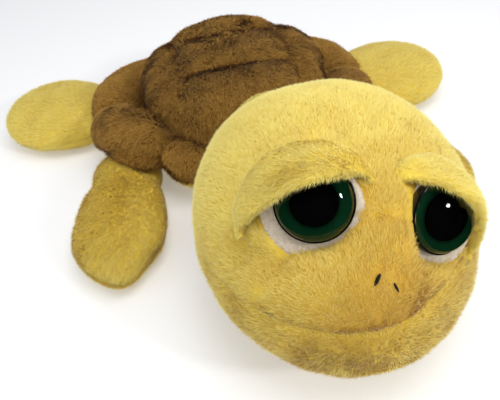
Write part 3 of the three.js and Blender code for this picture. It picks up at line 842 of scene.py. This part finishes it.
@dataclass
class Workshop:
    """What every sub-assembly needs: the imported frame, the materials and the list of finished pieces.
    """

    frame: dict
    wardrobe: Wardrobe = field(default_factory=Wardrobe)
    pieces: list[bpy.types.Object] = field(default_factory=list)
    trees: dict[str, BVHTree] = field(default_factory=dict)

    def merged(self, node: str) -> bmesh.types.BMesh:
        """Copies a CAD solid.

        Args:
            node: the solid's name.

        Returns:
            A bmesh of it with its doubles merged.
        """
        bm = bmesh.new()
        bm.from_mesh(self.frame["nodes"][node].data)
        bmesh.ops.remove_doubles(bm, verts=bm.verts, dist=SAME_PLACE)
        return bm

    def tree(self, node: str) -> BVHTree:
        """Makes a CAD solid's search tree, once.

        Args:
            node: the solid's name.

        Returns:
            The tree.
        """
        if node not in self.trees:
            bm = self.merged(node)
            self.trees[node] = BVHTree.FromBMesh(bm)
            bm.free()
        return self.trees[node]

    def centre(self, node: str) -> Vector:
        """Works out the mean of a CAD solid's vertices.

        Args:
            node: the solid's name.

        Returns:
            The mean.
        """
        bm = self.merged(node)
        mean = np.mean([v.co[:] for v in bm.verts], axis=0)
        bm.free()
        return Vector(mean)

    def softened(self, node: str, voxel: float, softening: int, plump: float) -> bpy.types.Mesh:
        """Makes an even, rounded mesh from a CAD solid.

        Args:
            node: the solid's name.
            voxel: the size of its new faces, in metres.
            softening: how many times it is smoothed.
            plump: how far it swells.

        Returns:
            The mesh.
        """
        holder = add_object(node + "_base", mesh_from(self.merged(node), node + "_base"))
        base = holder.data
        remesh = holder.modifiers.new("Even", "REMESH")
        remesh.mode = "VOXEL"
        remesh.voxel_size = voxel
        smooth = holder.modifiers.new("Soften", "SMOOTH")
        smooth.factor = 0.5
        smooth.iterations = softening
        swell = holder.modifiers.new("Plump", "DISPLACE")
        swell.mid_level = 0.0
        swell.strength = plump
        graph = bpy.context.evaluated_depsgraph_get()
        made = bpy.data.meshes.new_from_object(holder.evaluated_get(graph))
        bpy.data.objects.remove(holder)
        bpy.data.meshes.remove(base)
        return made

    def near(
        self, node: str, reach: float, left_out: tuple[str, ...]
    ) -> tuple[list[BVHTree], list[BVHTree]]:
        """Finds the other solids whose boxes come near a node's box.

        Args:
            node: the CAD solid.
            reach: how near, in metres.
            left_out: solids that don't count.

        Returns:
            Search trees of the fillings, and of the rest.
        """
        low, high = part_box(node)
        fillings, others = [], []
        for other in self.frame["nodes"]:
            a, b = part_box(other)
            apart = max(max(a[k] - high[k], low[k] - b[k]) for k in range(3))
            if other != node and other not in left_out and apart < reach:
                (fillings if "stuffing" in other else others).append(self.tree(other))
        return fillings, others

    def add(
        self,
        name: str,
        mesh: bpy.types.Mesh,
        body: str,
        nodes: tuple[str, ...],
        finish: Finish,
        slot: Slot,
    ) -> bpy.types.Object:
        """Adds a finished piece.

        Args:
            name: the piece's name.
            mesh: its mesh, in the frame's own place.
            body: the moving body that carries it.
            nodes: the CAD solids that it stands for.
            finish: what it is made of.
            slot: the record's slot for that.

        Returns:
            The new object.
        """
        piece = add_object(name, mesh)
        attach(piece, body)
        if nodes:
            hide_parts(*nodes)
        self.wardrobe.dress(piece, finish, slot)
        self.pieces.append(piece)
        mesh.calc_loop_triangles()
        log.info("%s: %d triangles", name, len(mesh.loop_triangles))
        return piece


LINING_START = 1.5 * MM  # how far under a face the look for the filling starts
LINING_REACH = 7 * MM  # how far it goes
NEIGHBOUR_REACH = 6 * MM  # how near the solids lie that may hide a face
SEAM_REACH = 16 * MM  # how far a panel looks for the edge that it is sewn to
SEAM_CLOSING = 4.0 * MM  # how near that edge is where the two close up
SEAM_FOCUS = ((50 * MM, 80 * MM), (1.0, 0.1))  # a seam's strength by the distance from its focus
FRINGE = ((18 * MM, 24 * MM), (1.0, 0.75))  # a tuft's length by the distance from the fringe's focus
HEM = ((20 * MM, 34 * MM), (1.0, 0.0))  # a hem's strength by the height
BLOTCH_SIZE, FLECK_SIZE = 38 * MM, 13 * MM  # of the areas in which a plush's tint varies
FLECK_SHARE = 0.6  # of the blotches' strength


@dataclass
class PlushPanel:
    """One sewn plush panel, made from its CAD solid: softened, creased, and given a pile."""

    node: str
    body: str
    finish: PlushFinish
    slot: Slot
    pile: Pile
    comb: Comb
    # share of the deeper tint, which also stands for painted shade
    tint: float = 0.3
    voxel: float = 2.4 * MM
    softening: int = 14
    plump: float = 0.8 * MM
    creases: tuple[Crease, ...] = ()
    seam_mates: tuple[str, ...] = ()
    goes_under: tuple[str, ...] = ()  # solids under which the pile goes on
    seam_pull: float = 1.5 * MM
    seam_width: float = 5.0 * MM  # from a seam to where the panel stands at its full height
    seam_close: float = 1.4  # how far each side of a seam goes to meet the other, as a share of the gap
    seam_gap: float = 1.8 * MM  # a face that looks at a neighbour nearer than this is bare
    seam_bare: float = 0.35  # share of the pile's length lost at a seam
    blushes: tuple[ToneAndShadeSpot, ...] = ()
    tugs: tuple[Tug, ...] = ()
    hem: float = 0.0  # share added to the pile's length along the lower edge
    seam_focus: Place | None = None  # the seam shows most near this point
    fringe: Place | None = None  # the tufts near this point are longer
    most: int = 52000
    fill: float = 0.8

    def seam_share(self, points: np.ndarray) -> np.ndarray:
        """Works out how strongly a seam shows.

        Args:
            points: one row a point.

        Returns:
            A share of 0 to 1 for each.
        """
        if self.seam_focus is None:
            return np.ones(len(points))
        return np.interp(np.linalg.norm(points - np.array(self.seam_focus), axis=1), *SEAM_FOCUS)

    def hidden(self, shop: Workshop, points: np.ndarray, normals: np.ndarray) -> np.ndarray:
        """Finds where no pile shows.

        Args:
            shop: the workshop.
            points: the panel's vertices.
            normals: the ways that they face.

        Returns:
            True on the inner wall, and where the panel looks at a near neighbour.
        """
        fillings, others = shop.near(self.node, NEIGHBOUR_REACH, self.goes_under)
        sewn = points - self.plump * normals
        bare = np.zeros(len(points), bool)
        for i, (p, q, n) in enumerate(zip(points, sewn, normals)):
            start, way = Vector(p - LINING_START * n), Vector(n)
            lined = any(t.ray_cast(start, way, LINING_REACH)[0] is not None for t in fillings)
            bare[i] = lined or any(faces(t, Vector(q), way, self.seam_gap) for t in others)
        return bare

    def sew(
        self, shop: Workshop, points: np.ndarray, normals: np.ndarray, bare: np.ndarray
    ) -> tuple[np.ndarray, np.ndarray]:
        """Closes the panel up to its mates, and draws it in along seams and creases.

        Args:
            shop: the workshop.
            points: the panel's vertices.
            normals: the ways that they face.
            bare: True where no pile shows.

        Returns:
            The moved vertices, and the share of the pile's length that each has left.
        """
        length = np.ones(len(points))
        inward, toward = np.zeros(len(points)), np.zeros(points.shape)
        for mate in self.seam_mates:
            tree = shop.tree(mate)
            found = [tree.find_nearest(Vector(p), SEAM_REACH) for p in points]
            gap = np.array([SEAM_REACH if f[0] is None else f[3] for f in found])
            place = np.array([p if f[0] is None else f[0][:] for p, f in zip(points, found)])
            hold = np.exp(-((gap / self.seam_width) ** 2)) * self.seam_share(points)
            nearest = hold > inward
            inward = np.maximum(inward, hold)
            length = np.minimum(length, 1 - self.seam_bare * hold)
            share = np.exp(-((gap / SEAM_CLOSING) ** 2))[:, None] * self.seam_close
            toward = np.where(nearest[:, None], (place - points) * share, toward)
        points = points + toward
        points -= normals * (self.seam_pull * inward * ~bare)[:, None]
        for crease in self.creases:
            hold = crease.hold(points) * ~bare
            points -= normals * (crease.depth * hold)[:, None]
            length = np.minimum(length, 1 - crease.bare * hold)
        return points, length

    def tinted(self, points: np.ndarray, seed: int) -> np.ndarray:
        """Works out the plush's tint, with the painted shade and painted light of its tinted spots.

        Args:
            points: the panel's vertices.
            seed: picks the blotches.

        Returns:
            The tint of each.
        """
        blotches = self.pile.blotch * wave_noise(points, BLOTCH_SIZE, seed + 9, 1)[:, 0]
        flecks = FLECK_SHARE * self.pile.blotch * wave_noise(points, FLECK_SIZE, seed + 8, 1)[:, 0]
        return self.tint + blotches + flecks + sum(blush.at(points) for blush in self.blushes)

    def skin(self, shop: Workshop) -> Skin:
        """Makes the panel's surface, and works out where and how its pile stands.

        Args:
            shop: the workshop.

        Returns:
            The surface.
        """
        mesh = shop.softened(self.node, self.voxel, self.softening, self.plump)
        points = read(mesh.vertices, "co", np.float32, 3).astype(float)
        normals = read(mesh.vertices, "normal", np.float32, 3).astype(float)
        mesh.calc_loop_triangles()
        triangles = read(mesh.loop_triangles, "vertices", np.int32, 3)
        corners = read(mesh.loops, "vertex_index", np.int32)
        totals = read(mesh.polygons, "loop_total", np.int32)
        bpy.data.meshes.remove(mesh)
        points += sum((tug.at(points) for tug in self.tugs), np.zeros(points.shape))
        bare = self.hidden(shop, points, normals)
        points, length = self.sew(shop, points, normals, bare)
        if self.fringe is not None:
            length *= np.interp(np.linalg.norm(points - np.array(self.fringe), axis=1), *FRINGE)
        length *= 1 + self.hem * np.interp(points[:, 2], *HEM)
        seed = seed_of(self.node)
        tint = self.tinted(points, seed)
        rng = np.random.default_rng(seed)
        speckle = SKIN_SPECKLE * rng.normal(size=len(points))
        # the bare skin takes a deeper tint and a low height on the ramp: painted shade under the pile
        u = np.clip(tint + self.pile.backing_shade_tint + speckle, *SKIN_RANGE)
        v = rng.uniform(*SKIN_COLOUR, len(points))
        points[:, 2] = np.maximum(points[:, 2], 0.0)
        cloth = Cloth(points, normals, corners, totals, np.stack([u, v], 1)[corners])
        return Skin(cloth, triangles, bare, length, self.comb.at(points), tint)

    def build(self, shop: Workshop) -> None:
        """Makes and dresses the panel.

        Args:
            shop: the workshop.
        """
        skin = self.skin(shop)
        pile = skin.plant(self.pile, seed_of(self.node), self.most)
        mesh = skin.cloth.joined(pile).mesh(self.node)
        piece = shop.add(self.node + "_plush", mesh, self.body, (self.node,), self.finish, self.slot)


def yellow(node: str, body: str, comb: Comb, pile: Pile = SHORT_YELLOW, **cut: object) -> PlushPanel:
    """A panel of yellow plush, with the rest of its fields in cut."""
    return PlushPanel(node, body, YELLOW_PLUSH, Slot.YELLOW, pile, comb, **cut)


def brown(node: str, comb: Comb, **cut: object) -> PlushPanel:
    """A panel of the shell's brown plush, with the rest of its fields in cut."""
    return PlushPanel(node, "torso", BROWN_PLUSH, Slot.BROWN, LONG_BROWN, comb, **cut)


@dataclass
class Filling:
    """Loose fibre or a bag of pellets inside a skin."""

    node: str
    body: str
    finish: ClothFinish = FIBRE
    slot: Slot = Slot.FIBRE
    voxel: float = 4.0 * MM
    softening: int = 4

    def build(self, shop: Workshop) -> None:
        """Makes and dresses the filling.

        Args:
            shop: the workshop.
        """
        mesh = shop.softened(self.node, self.voxel, self.softening, 0.0)
        mesh.shade_smooth()
        piece = shop.add(self.node + "_soft", mesh, self.body, (self.node,), self.finish, self.slot)


# Sub-assemblies


RIM_FOLD = Crease(
    (
        (-0.1060, -0.0430, 0.0370),
        (-0.0994, -0.0512, 0.0400),
        (-0.0877, -0.0581, 0.0450),
        (-0.0694, -0.0658, 0.0425),
        (-0.0612, -0.0732, 0.0340),
    ),
    depth=4.5 * MM,
    width=4.2 * MM,
    bare=0.0,
)


@dataclass
class Shell:
    """The quilted dome and the padded rim round it, in brown plush."""

    sides: tuple[str, ...] = ("top", "front", "rear", "left", "right")
    rolls: int = 6
    dome_comb: Comb = Comb((0.0, 0.02, 0.0), 1.0, (0.2, -0.45, -0.4))
    rim_comb: Comb = Comb((0.0, 0.0, 0.02), 1.0, (0.0, -0.1, -0.5))

    def build(self, shop: Workshop) -> None:
        """Makes the dome's panels and the rim's rolls.

        Args:
            shop: the workshop.
        """
        panels = [f"shell_{side}_panel" for side in self.sides]
        for name in panels:
            mates = tuple(n for n in panels if n != name)
            brown(name, self.dome_comb, tint=0.4, seam_mates=mates, seam_pull=0.3 * MM, seam_close=1.0,
                  seam_bare=0.0, softening=5, most=34000).build(shop)
        names = [f"shell_rim_roll_{k + 1}" for k in range(self.rolls)]
        for k, name in enumerate(names):
            mates = (names[k - 1], names[(k + 1) % self.rolls])
            brown(name, self.rim_comb, tint=0.08, seam_mates=mates, hem=0.6, creases=(RIM_FOLD,),
                  seam_pull=2.4 * MM, softening=10, most=26000).build(shop)


@dataclass
class Belly:
    """Yellow belly skin, tail, stuffing and the weight in the middle."""

    skin_comb: Comb = Comb((0.0, 0.0, 0.05), 1.0, (0.0, 0.0, -0.3))
    tail_comb: Comb = Comb((0.0, 0.0, 0.02), 1.0, (0.0, 0.5, -0.2))

    def build(self, shop: Workshop) -> None:
        """Makes the underside and what lies in it.

        Args:
            shop: the workshop.
        """
        yellow("belly_skin", "torso", self.skin_comb, plump=3.0 * MM, most=60000).build(shop)
        yellow("tail", "torso", self.tail_comb, voxel=1.6 * MM, most=4000).build(shop)
        Filling("body_stuffing", "torso").build(shop)
        Filling("pellet_bag", "torso", BAG_CLOTH, Slot.PELLETS).build(shop)


FLIPPER_TUCKS = {
    "front_flipper_right": (
        Tug((-0.1130, -0.1400, 0.0200), 15 * MM, (0.0060, 0.0010, 0.0)),
        Tug((-0.0780, -0.1420, 0.0150), 13 * MM, (-0.0050, 0.0010, 0.0)),
    ),
}


@dataclass
class Flipper:
    """One stuffed flipper: a top and an underside of yellow plush."""

    end: End
    side: Side
    tint: float = 0.08

    def comb(self) -> Comb:
        """The pile's way, from the shoulder or the hip out to the tip."""
        way = (0.0, -1.0) if self.end is End.FRONT else (1.0 if self.side is Side.LEFT else -1.0, 0.0)
        return Comb((0.0, 0.0, 0.02), 0.6, (*way, -0.15))

    def build(self, shop: Workshop) -> None:
        """Makes the two skins and the stuffing.

        Args:
            shop: the workshop.
        """
        stem = f"{self.end.value}_flipper_{self.side.value}"
        for half, mate in (("top", "underside"), ("underside", "top")):
            yellow(f"{stem}_{half}", stem, self.comb(), tint=self.tint, seam_mates=(f"{stem}_{mate}",),
                   seam_pull=0.6 * MM, voxel=2.8 * MM, softening=50, plump=2.6 * MM,
                   tugs=FLIPPER_TUCKS.get(stem, ()), most=40000).build(shop)
        Filling(stem + "_stuffing", stem).build(shop)


FELT_TUCK = Tug((0.0438, -0.2100, 0.1060), 12 * MM, (0.0045, 0.0, -0.0030))  # beside the left eye


@dataclass
class SafetyEye:
    """A domed safety eye: black back with its shank, green iris, black pupil and a clear dome.

    Heights are measured along the shank's line, from the back's face on the felt.
    """

    side: Side
    radius: float = 17.5 * MM
    iris_radius: float = 16.4 * MM
    iris_middle: float = 1.8 * MM
    pupil_radius: float = 9.2 * MM
    back_top: float = 1.2 * MM
    iris_top: float = 2.0 * MM
    pupil_top: float = 2.9 * MM
    dome_foot: float = 3.3 * MM
    dome_top: float = 12.8 * MM
    lip: float = 0.7 * MM  # the back's edge, which stands round the dome's foot
    lip_rise: tuple[float, float] = (1.0 * MM, 1.2 * MM)  # of its outer and inner edge over the foot
    rounding: tuple[float, float] = (0.2 * MM, 0.4 * MM)  # at the lip and at the felt
    gap: float = 0.3 * MM  # under the iris and the pupil
    fit: float = 0.05 * MM  # between the dome and what it sits in
    underside: float = -0.25 * MM
    shank: tuple[Profile, ...] = ((3.2 * MM, -0.25 * MM), (3.0 * MM, -15.0 * MM), (2.2 * MM, -16.0 * MM))
    steps: int = 72
    arc_steps: int = 20
    felt_voxel: float = 0.8 * MM
    felt_plump: float = 1.3 * MM

    def place(self, shop: Workshop) -> Matrix:
        """Finds the eye's frame in the CAD: its Z is the shank's line.

        Args:
            shop: the workshop.

        Returns:
            The frame.
        """
        washer, iris = (shop.centre(f"eye_{part}_{self.side.value}") for part in ("washer", "iris"))
        axis = (iris - washer).normalized()
        turn = axis.to_track_quat("Z", "Y").to_matrix().to_4x4()
        return Matrix.Translation(iris - axis * self.iris_middle) @ turn

    def lathe(self, profile: list[Profile], name: str, place: Matrix) -> bpy.types.Mesh:
        """Turns a profile round the eye's axis.

        Args:
            profile: (radius, height) pairs from one end on the axis to the other.
            name: the mesh's name.
            place: the eye's frame.

        Returns:
            The turned mesh, with a flat map of its front.
        """
        bm = bmesh.new()
        line = [bm.verts.new((r, 0.0, z)) for r, z in profile]
        edges = [bm.edges.new(pair) for pair in zip(line, line[1:])]
        bmesh.ops.spin(bm, geom=line + edges, cent=(0, 0, 0), axis=(0, 0, 1), angle=2 * math.pi,
                       steps=self.steps, use_merge=True)
        bmesh.ops.remove_doubles(bm, verts=bm.verts, dist=SAME_PLACE)
        bmesh.ops.recalc_face_normals(bm, faces=bm.faces)
        layer = bm.loops.layers.uv.new(PILE_MAP)
        reach = 2 * max(r for r, _ in profile)
        for face in bm.faces:
            for loop in face.loops:
                loop[layer].uv = (0.5 + loop.vert.co.x / reach, 0.5 + loop.vert.co.y / reach)
        bmesh.ops.transform(bm, matrix=place, verts=bm.verts)
        mesh = mesh_from(bm, name)
        mesh.shade_smooth()
        return mesh

    def disc(self, radius: float, top: float, seat: float) -> list[Profile]:
        """The profile of a flat disc that lies a gap over its seat."""
        return [(0, top), (radius, top), (radius, seat + self.gap), (0, seat + self.gap)]

    def dome(self) -> list[Profile]:
        """Works out the clear front's profile.

        Returns:
            It, from the top of the dome to the middle of its flat back.
        """
        foot, height = self.radius - self.lip, self.dome_top - self.dome_foot
        turns = [k / self.arc_steps * math.pi / 2 for k in range(1, self.arc_steps + 1)]
        arc = [(foot * math.sin(t), self.dome_foot + height * math.cos(t)) for t in turns]
        seat = self.iris_top - self.fit
        return [(0.0, self.dome_top), *arc, (foot, seat), (0.0, seat)]

    def back(self) -> list[Profile]:
        """Works out the black back's profile, with the lip and the shank.

        Returns:
            It, from the middle of its front to the end of the shank.
        """
        r, inner = self.radius, self.radius - self.lip + self.fit
        outer_rise, inner_rise = self.lip_rise
        at_lip, at_felt = self.rounding
        lip = [(inner, self.dome_foot + inner_rise), (r - at_lip, self.dome_foot + outer_rise)]
        edge = [(r, self.dome_foot), (r, 0.0), (r - at_felt, self.underside)]
        front, end = [(0, self.back_top), (inner, self.back_top)], (0, self.shank[-1][1])
        return [*front, *lip, *edge, *self.shank, end]

    def build(self, shop: Workshop) -> None:
        """Makes the eye's pieces and dresses the washer that stays.

        Args:
            shop: the workshop.
        """
        place, word = self.place(shop), self.side.value
        shapes = {
            "dome": (self.dome(), CLEAR_PLASTIC, Slot.CLEAR),
            "pupil": (
                self.disc(self.pupil_radius, self.pupil_top, self.iris_top), PUPIL_PAINT, Slot.BLACK
            ),
            "iris": (self.disc(self.iris_radius, self.iris_top, self.back_top), IRIS, Slot.GREEN),
            "back": (self.back(), BLACK_PLASTIC, Slot.BLACK),
        }
        for part, (profile, finish, slot) in shapes.items():
            node = f"eye_{part}_{word}"
            mesh = self.lathe(profile, node, place)
            shop.add(node + "_turned", mesh, "head", (node,), finish, slot)
        self.felt(shop)
        washer = shop.frame["nodes"][f"eye_washer_{word}"]
        shop.wardrobe.dress(washer, WHITE_PLASTIC, Slot.WHITE)

    def felt(self, shop: Workshop) -> None:
        """Makes the cream felt round the eye from its CAD disc.

        Args:
            shop: the workshop.
        """
        node = f"eye_felt_{self.side.value}"
        mesh = shop.softened(node, self.felt_voxel, 4, self.felt_plump)
        for vertex in mesh.vertices:
            place = np.array([vertex.co[:]])
            vertex.co = (place + FELT_TUCK.at(place))[0]
        mesh.shade_smooth()
        shop.add(node + "_soft", mesh, "head", (node,), FELT, Slot.FELT)


# deeper tint on the muzzle: partly the plush's warmer orange, partly painted shade where the face turns
# down from the light
MUZZLE_TONE_AND_SHADE = ToneAndShadeSpot((0.030, -0.235, 0.080), reach=56 * MM, amount=0.75)
# fresher, lighter tint at the back of the head: painted light
NAPE_PAINTED_LIGHT = ToneAndShadeSpot((0.010, -0.095, 0.075), reach=60 * MM, amount=-0.30)
NAPE_WHORL = Tug((0.012, -0.085, 0.075), 72 * MM, (0.0, -0.4, -3.2))
LID_TUCKS = (
    Tug((0.0360, -0.1985, 0.1160), 8 * MM, (-0.0004, 0.0022, -0.0036)),
    Tug((0.0441, -0.2036, 0.1159), 7 * MM, (0.0004, 0.0022, -0.0032)),
    Tug((0.0850, -0.2120, 0.0820), 22 * MM, (-0.0032, 0.0012, 0.0)),
    Tug((0.0812, -0.2185, 0.0656), 9 * MM, (-0.0020, 0.0040, 0.0)),
    Tug((-0.0270, -0.2040, 0.0930), 11 * MM, (0.0015, 0.0030, 0.0005)),
)
FACE_TUCKS = (
    Tug((0.0436, -0.2082, 0.1064), 10 * MM, (0.0028, -0.0020, 0.0014)),  # laps over the left felt
    Tug((0.0415, -0.2203, 0.0980), 10 * MM, (0.0028, -0.0020, 0.0014)),
    Tug((0.0250, -0.1150, 0.1100), 30 * MM, (0.0, -0.0010, -0.0030)),
)
NOSE_BRIDGE = Crease(
    (
        (0.0336, -0.2145, 0.1050),
        (0.0382, -0.2150, 0.1043),
        (0.0488, -0.2135, 0.0985),
        (0.0511, -0.2127, 0.0975),
    ),
    depth=4.6 * MM,
    width=4.2 * MM,
    bare=0.3,
)
RIGHT_CHEEK = Crease(
    ((-0.0237, -0.2040, 0.0922), (-0.0173, -0.2105, 0.0926), (-0.0085, -0.2170, 0.0940)),
    depth=5.5 * MM,
    width=5.5 * MM,
    bare=0.3,
)
CHEEK_SWELL = Crease(
    ((-0.0190, -0.2168, 0.0868), (-0.0043, -0.2258, 0.0890), (0.0137, -0.2302, 0.0938)),
    depth=-3.4 * MM,
    width=8.0 * MM,
    bare=0.0,
)
LID_ARCH = Crease(
    (
        (-0.0074, -0.1928, 0.1224),
        (0.0019, -0.1955, 0.1271),
        (0.0113, -0.1963, 0.1287),
        (0.0217, -0.1995, 0.1267),
    ),
    depth=-1.6 * MM,
    width=6.0 * MM,
    bare=0.0,
)
MOUTH_CORNER = Crease(
    (
        (-0.0210, -0.2231, 0.0790),
        (-0.0195, -0.2276, 0.0756),
        (-0.0175, -0.2331, 0.0685),
        (-0.0110, -0.2390, 0.0609),
    ),
    depth=1.2 * MM,
    width=4.0 * MM,
    bare=0.15,
)
FACE_CREASES = (NOSE_BRIDGE, RIGHT_CHEEK, CHEEK_SWELL, MOUTH_CORNER)


@dataclass
class NostrilStitch:
    """One slanted stitch of black thread on the muzzle."""

    name: str
    top: Place
    bottom: Place
    thickness: float
    lift: float = 1.9 * MM

    def crease(self) -> Crease:
        """The dent that the thread pulls into the pile."""
        return Crease((self.top, self.bottom), depth=0.8 * MM, width=2.6 * MM, bare=0.75)

    def build(self, shop: Workshop, centre: Place) -> None:
        """Makes the stitch.

        Args:
            shop: the workshop.
            centre: the head's centre, from which the surface's outward way is taken.
        """
        top, bottom = Vector(self.top), Vector(self.bottom)
        middle = (top + bottom) / 2
        out = (middle - Vector(centre)).normalized()
        along = (top - bottom).normalized()
        across = along.cross(out).normalized()
        turned = Matrix((across, along, across.cross(along))).transposed().to_4x4()
        turned.translation = middle + out * self.lift
        bm = bmesh.new()
        bmesh.ops.create_uvsphere(bm, u_segments=16, v_segments=12, radius=1.0)
        size = (self.thickness, (top - bottom).length / 2, self.thickness)
        bmesh.ops.scale(bm, verts=bm.verts, vec=size)
        bmesh.ops.transform(bm, matrix=turned, verts=bm.verts)
        mesh = mesh_from(bm, self.name)
        mesh.shade_smooth()
        shop.add(self.name, mesh, "head", (), THREAD, Slot.BLACK)


@dataclass
class Head:
    """The head: face, jaw, padded lids, eyes, nostril stitches and stuffing."""

    comb: Comb = Comb((0.030, -0.300, 0.020), 1.0, (0.0, 0.1, 0.05), NAPE_WHORL)
    centre: Place = (0.0303, -0.1637, 0.0587)
    mouth: Place = (0.0220, -0.2440, 0.0640)
    plump: float = 1.4 * MM
    stitches: tuple[NostrilStitch, ...] = (
        NostrilStitch("nostril_stitch_right", (0.0275, -0.2312, 0.0953), (0.0241, -0.2345, 0.0920),
                      thickness=0.8 * MM),
        NostrilStitch("nostril_stitch_left", (0.0327, -0.2337, 0.0905), (0.0342, -0.2367, 0.0869),
                      thickness=0.5 * MM),
    )

    def half(self, node: str, mate: str, **cut: object) -> PlushPanel:
        """Cuts one of the face's two skins.

        Args:
            node: its CAD solid.
            mate: the other skin's, to which it is sewn at the mouth.
            **cut: the fields that the two don't share.

        Returns:
            The panel.
        """
        return yellow(node, "head", self.comb, FACE_YELLOW, seam_mates=(mate,), seam_pull=1.0 * MM,
                      seam_bare=0.1, seam_focus=self.mouth, softening=18, plump=self.plump, **cut)

    def lid(self, side: Side, node: str, eye: Place) -> PlushPanel:
        """Cuts a padded lid.

        Args:
            side: whose lid it is.
            node: its CAD solid.
            eye: the middle of the eye under it, round which its fringe is long.

        Returns:
            The panel.
        """
        comb = Comb(pull=(0.8 if side is Side.LEFT else -0.8, -0.3, -0.35))
        return yellow(node, "head", comb, LID_YELLOW, tint=0.05, voxel=0.5 * MM, softening=60,
                      plump=1.0 * MM, seam_mates=("head_upper",), tugs=LID_TUCKS, creases=(LID_ARCH,),
                      seam_close=0.0, seam_pull=0.6 * MM, fringe=eye, most=60000)

    def build(self, shop: Workshop) -> None:
        """Makes the head's pieces.

        Args:
            shop: the workshop.
        """
        dents = tuple(stitch.crease() for stitch in self.stitches)
        lids = tuple(f"upper_eyelid_{side.value}" for side in Side)
        self.half("head_upper", "head_jaw", tint=0.2, blushes=(MUZZLE_TONE_AND_SHADE, NAPE_PAINTED_LIGHT), goes_under=lids,
                  tugs=FACE_TUCKS, creases=FACE_CREASES + dents, most=185000).build(shop)
        # the jaw's deeper tint is partly painted shade under the chin
        self.half("head_jaw", "head_upper", tint=0.4, creases=(MOUTH_CORNER,), most=160000).build(shop)
        for side, node in zip(Side, lids):
            eye = SafetyEye(side)
            self.lid(side, node, tuple(eye.place(shop).translation)).build(shop)
            eye.build(shop)
        for stitch in self.stitches:
            stitch.build(shop, self.centre)
        Filling("head_stuffing", "head").build(shop)


@dataclass
class Neck:
    """The soft yellow neck between the shell and the head."""

    def build(self, shop: Workshop) -> None:
        """Makes the sleeve and its stuffing."""
        yellow("neck_sleeve", "neck", Comb(pull=(0.0, -0.5, -0.7)), most=40000).build(shop)
        Filling("neck_stuffing", "neck").build(shop)


# Stage


@dataclass(frozen=True)
class Lamp:
    """A square soft light."""

    name: str
    place: Place
    size: float
    power: float  # watts
    mirrored: bool = False  # whether glossy pieces reflect it

    def hang(self, target: Place) -> None:
        """Adds the lamp to the scene.

        Args:
            target: what it looks at.
        """
        data = bpy.data.lights.new(self.name, "AREA")
        data.size = self.size
        data.energy = self.power
        lamp = add_object(self.name, data)
        lamp.location = self.place
        lamp.visible_glossy = self.mirrored
        lamp.rotation_euler = (Vector(target) - Vector(self.place)).to_track_quat("-Z", "Y").to_euler()


@dataclass
class Studio:
    """Pale floor, soft light and the camera of the photograph."""

    camera_place: Place = (-0.03177, -0.33555, 0.26502)
    target: Place = (-0.0122, -0.136, 0.05)
    roll: float = -7.2  # degrees that the photograph leans
    lens: float = 34.92
    sensor: float = 36.0
    floor_size: float = 4.0
    floor_drop: float = 0.6 * MM  # under the turtle
    floor_colour: Colour = (0.86, 0.86, 0.87)
    floor_glow: float = 0.22
    air_colour: Colour = (0.95, 0.97, 1.0)
    air_strength: float = 0.52
    lamps: tuple[Lamp, ...] = (
        Lamp("key", (0.08, -0.20, 0.64), 0.4, 1.85),
        Lamp("fill", (-0.8, -0.5, 0.7), 0.9, 1.7),
        Lamp("catch_light", (0.70, -0.73, 0.65), 0.11, 3.0, mirrored=True),
    )

    def build(self) -> None:
        """Makes the floor, the world, the lights and the camera."""
        self.lay_floor()
        self.fill_air()
        for lamp in self.lamps:
            lamp.hang(self.target)
        self.aim_camera()

    def lay_floor(self) -> None:
        """Makes the pale floor, which glossy pieces don't reflect."""
        bm = bmesh.new()
        bmesh.ops.create_grid(bm, x_segments=1, y_segments=1, size=self.floor_size)
        bmesh.ops.translate(bm, verts=bm.verts, vec=(0.0, 0.0, -self.floor_drop))
        tree = ShaderTree("PaleFloor")
        shader = tree.principled(
            Base_Color=(*self.floor_colour, 1.0),
            Roughness=0.9,
            Specular_IOR_Level=0.1,
            Emission_Color=(1.0, 1.0, 1.0, 1.0),
            Emission_Strength=self.floor_glow,
        )
        floor = add_object("floor", mesh_from(bm, "floor"))
        floor.visible_glossy = False
        floor.data.materials.append(tree.finish(shader))

    def fill_air(self) -> None:
        """Makes the world's soft light, which glossy pieces don't reflect."""
        world = bpy.data.worlds.new("studio")
        world.use_nodes = True
        light = world.node_tree.nodes["Background"].inputs
        light["Color"].default_value = (*self.air_colour, 1.0)
        light["Strength"].default_value = self.air_strength
        bpy.context.scene.world = world
        world.cycles_visibility.glossy = False

    def aim_camera(self) -> None:
        """Puts the camera at the photograph's angle."""
        data = bpy.data.cameras.new("photo_camera")
        data.sensor_width = self.sensor
        data.lens = self.lens
        back = (Vector(self.camera_place) - Vector(self.target)).normalized()
        level = Vector((0, 0, 1)).cross(back).normalized()
        turned = Matrix((level, back.cross(level), back)).transposed()
        matrix = turned.to_4x4() @ Matrix.Rotation(math.radians(self.roll), 4, "Z")
        matrix.translation = Vector(self.camera_place)
        camera = add_object("photo_camera", data)
        camera.matrix_world = matrix
        bpy.context.scene.camera = camera


def main() -> None:
    """Builds the turtle and its studio."""
    logging.basicConfig(level=logging.INFO, format="%(message)s")
    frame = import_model()
    bpy.context.scene.view_settings.view_transform = "Standard"
    shop = Workshop(frame)
    Shell().build(shop)
    Belly().build(shop)
    for end in End:
        for side in Side:
            Flipper(end, side).build(shop)
    Neck().build(shop)
    Head().build(shop)
    Studio().build()
    log.info("whole turtle: %d pieces", len(shop.pieces))


if __name__ == "__main__":
    main()
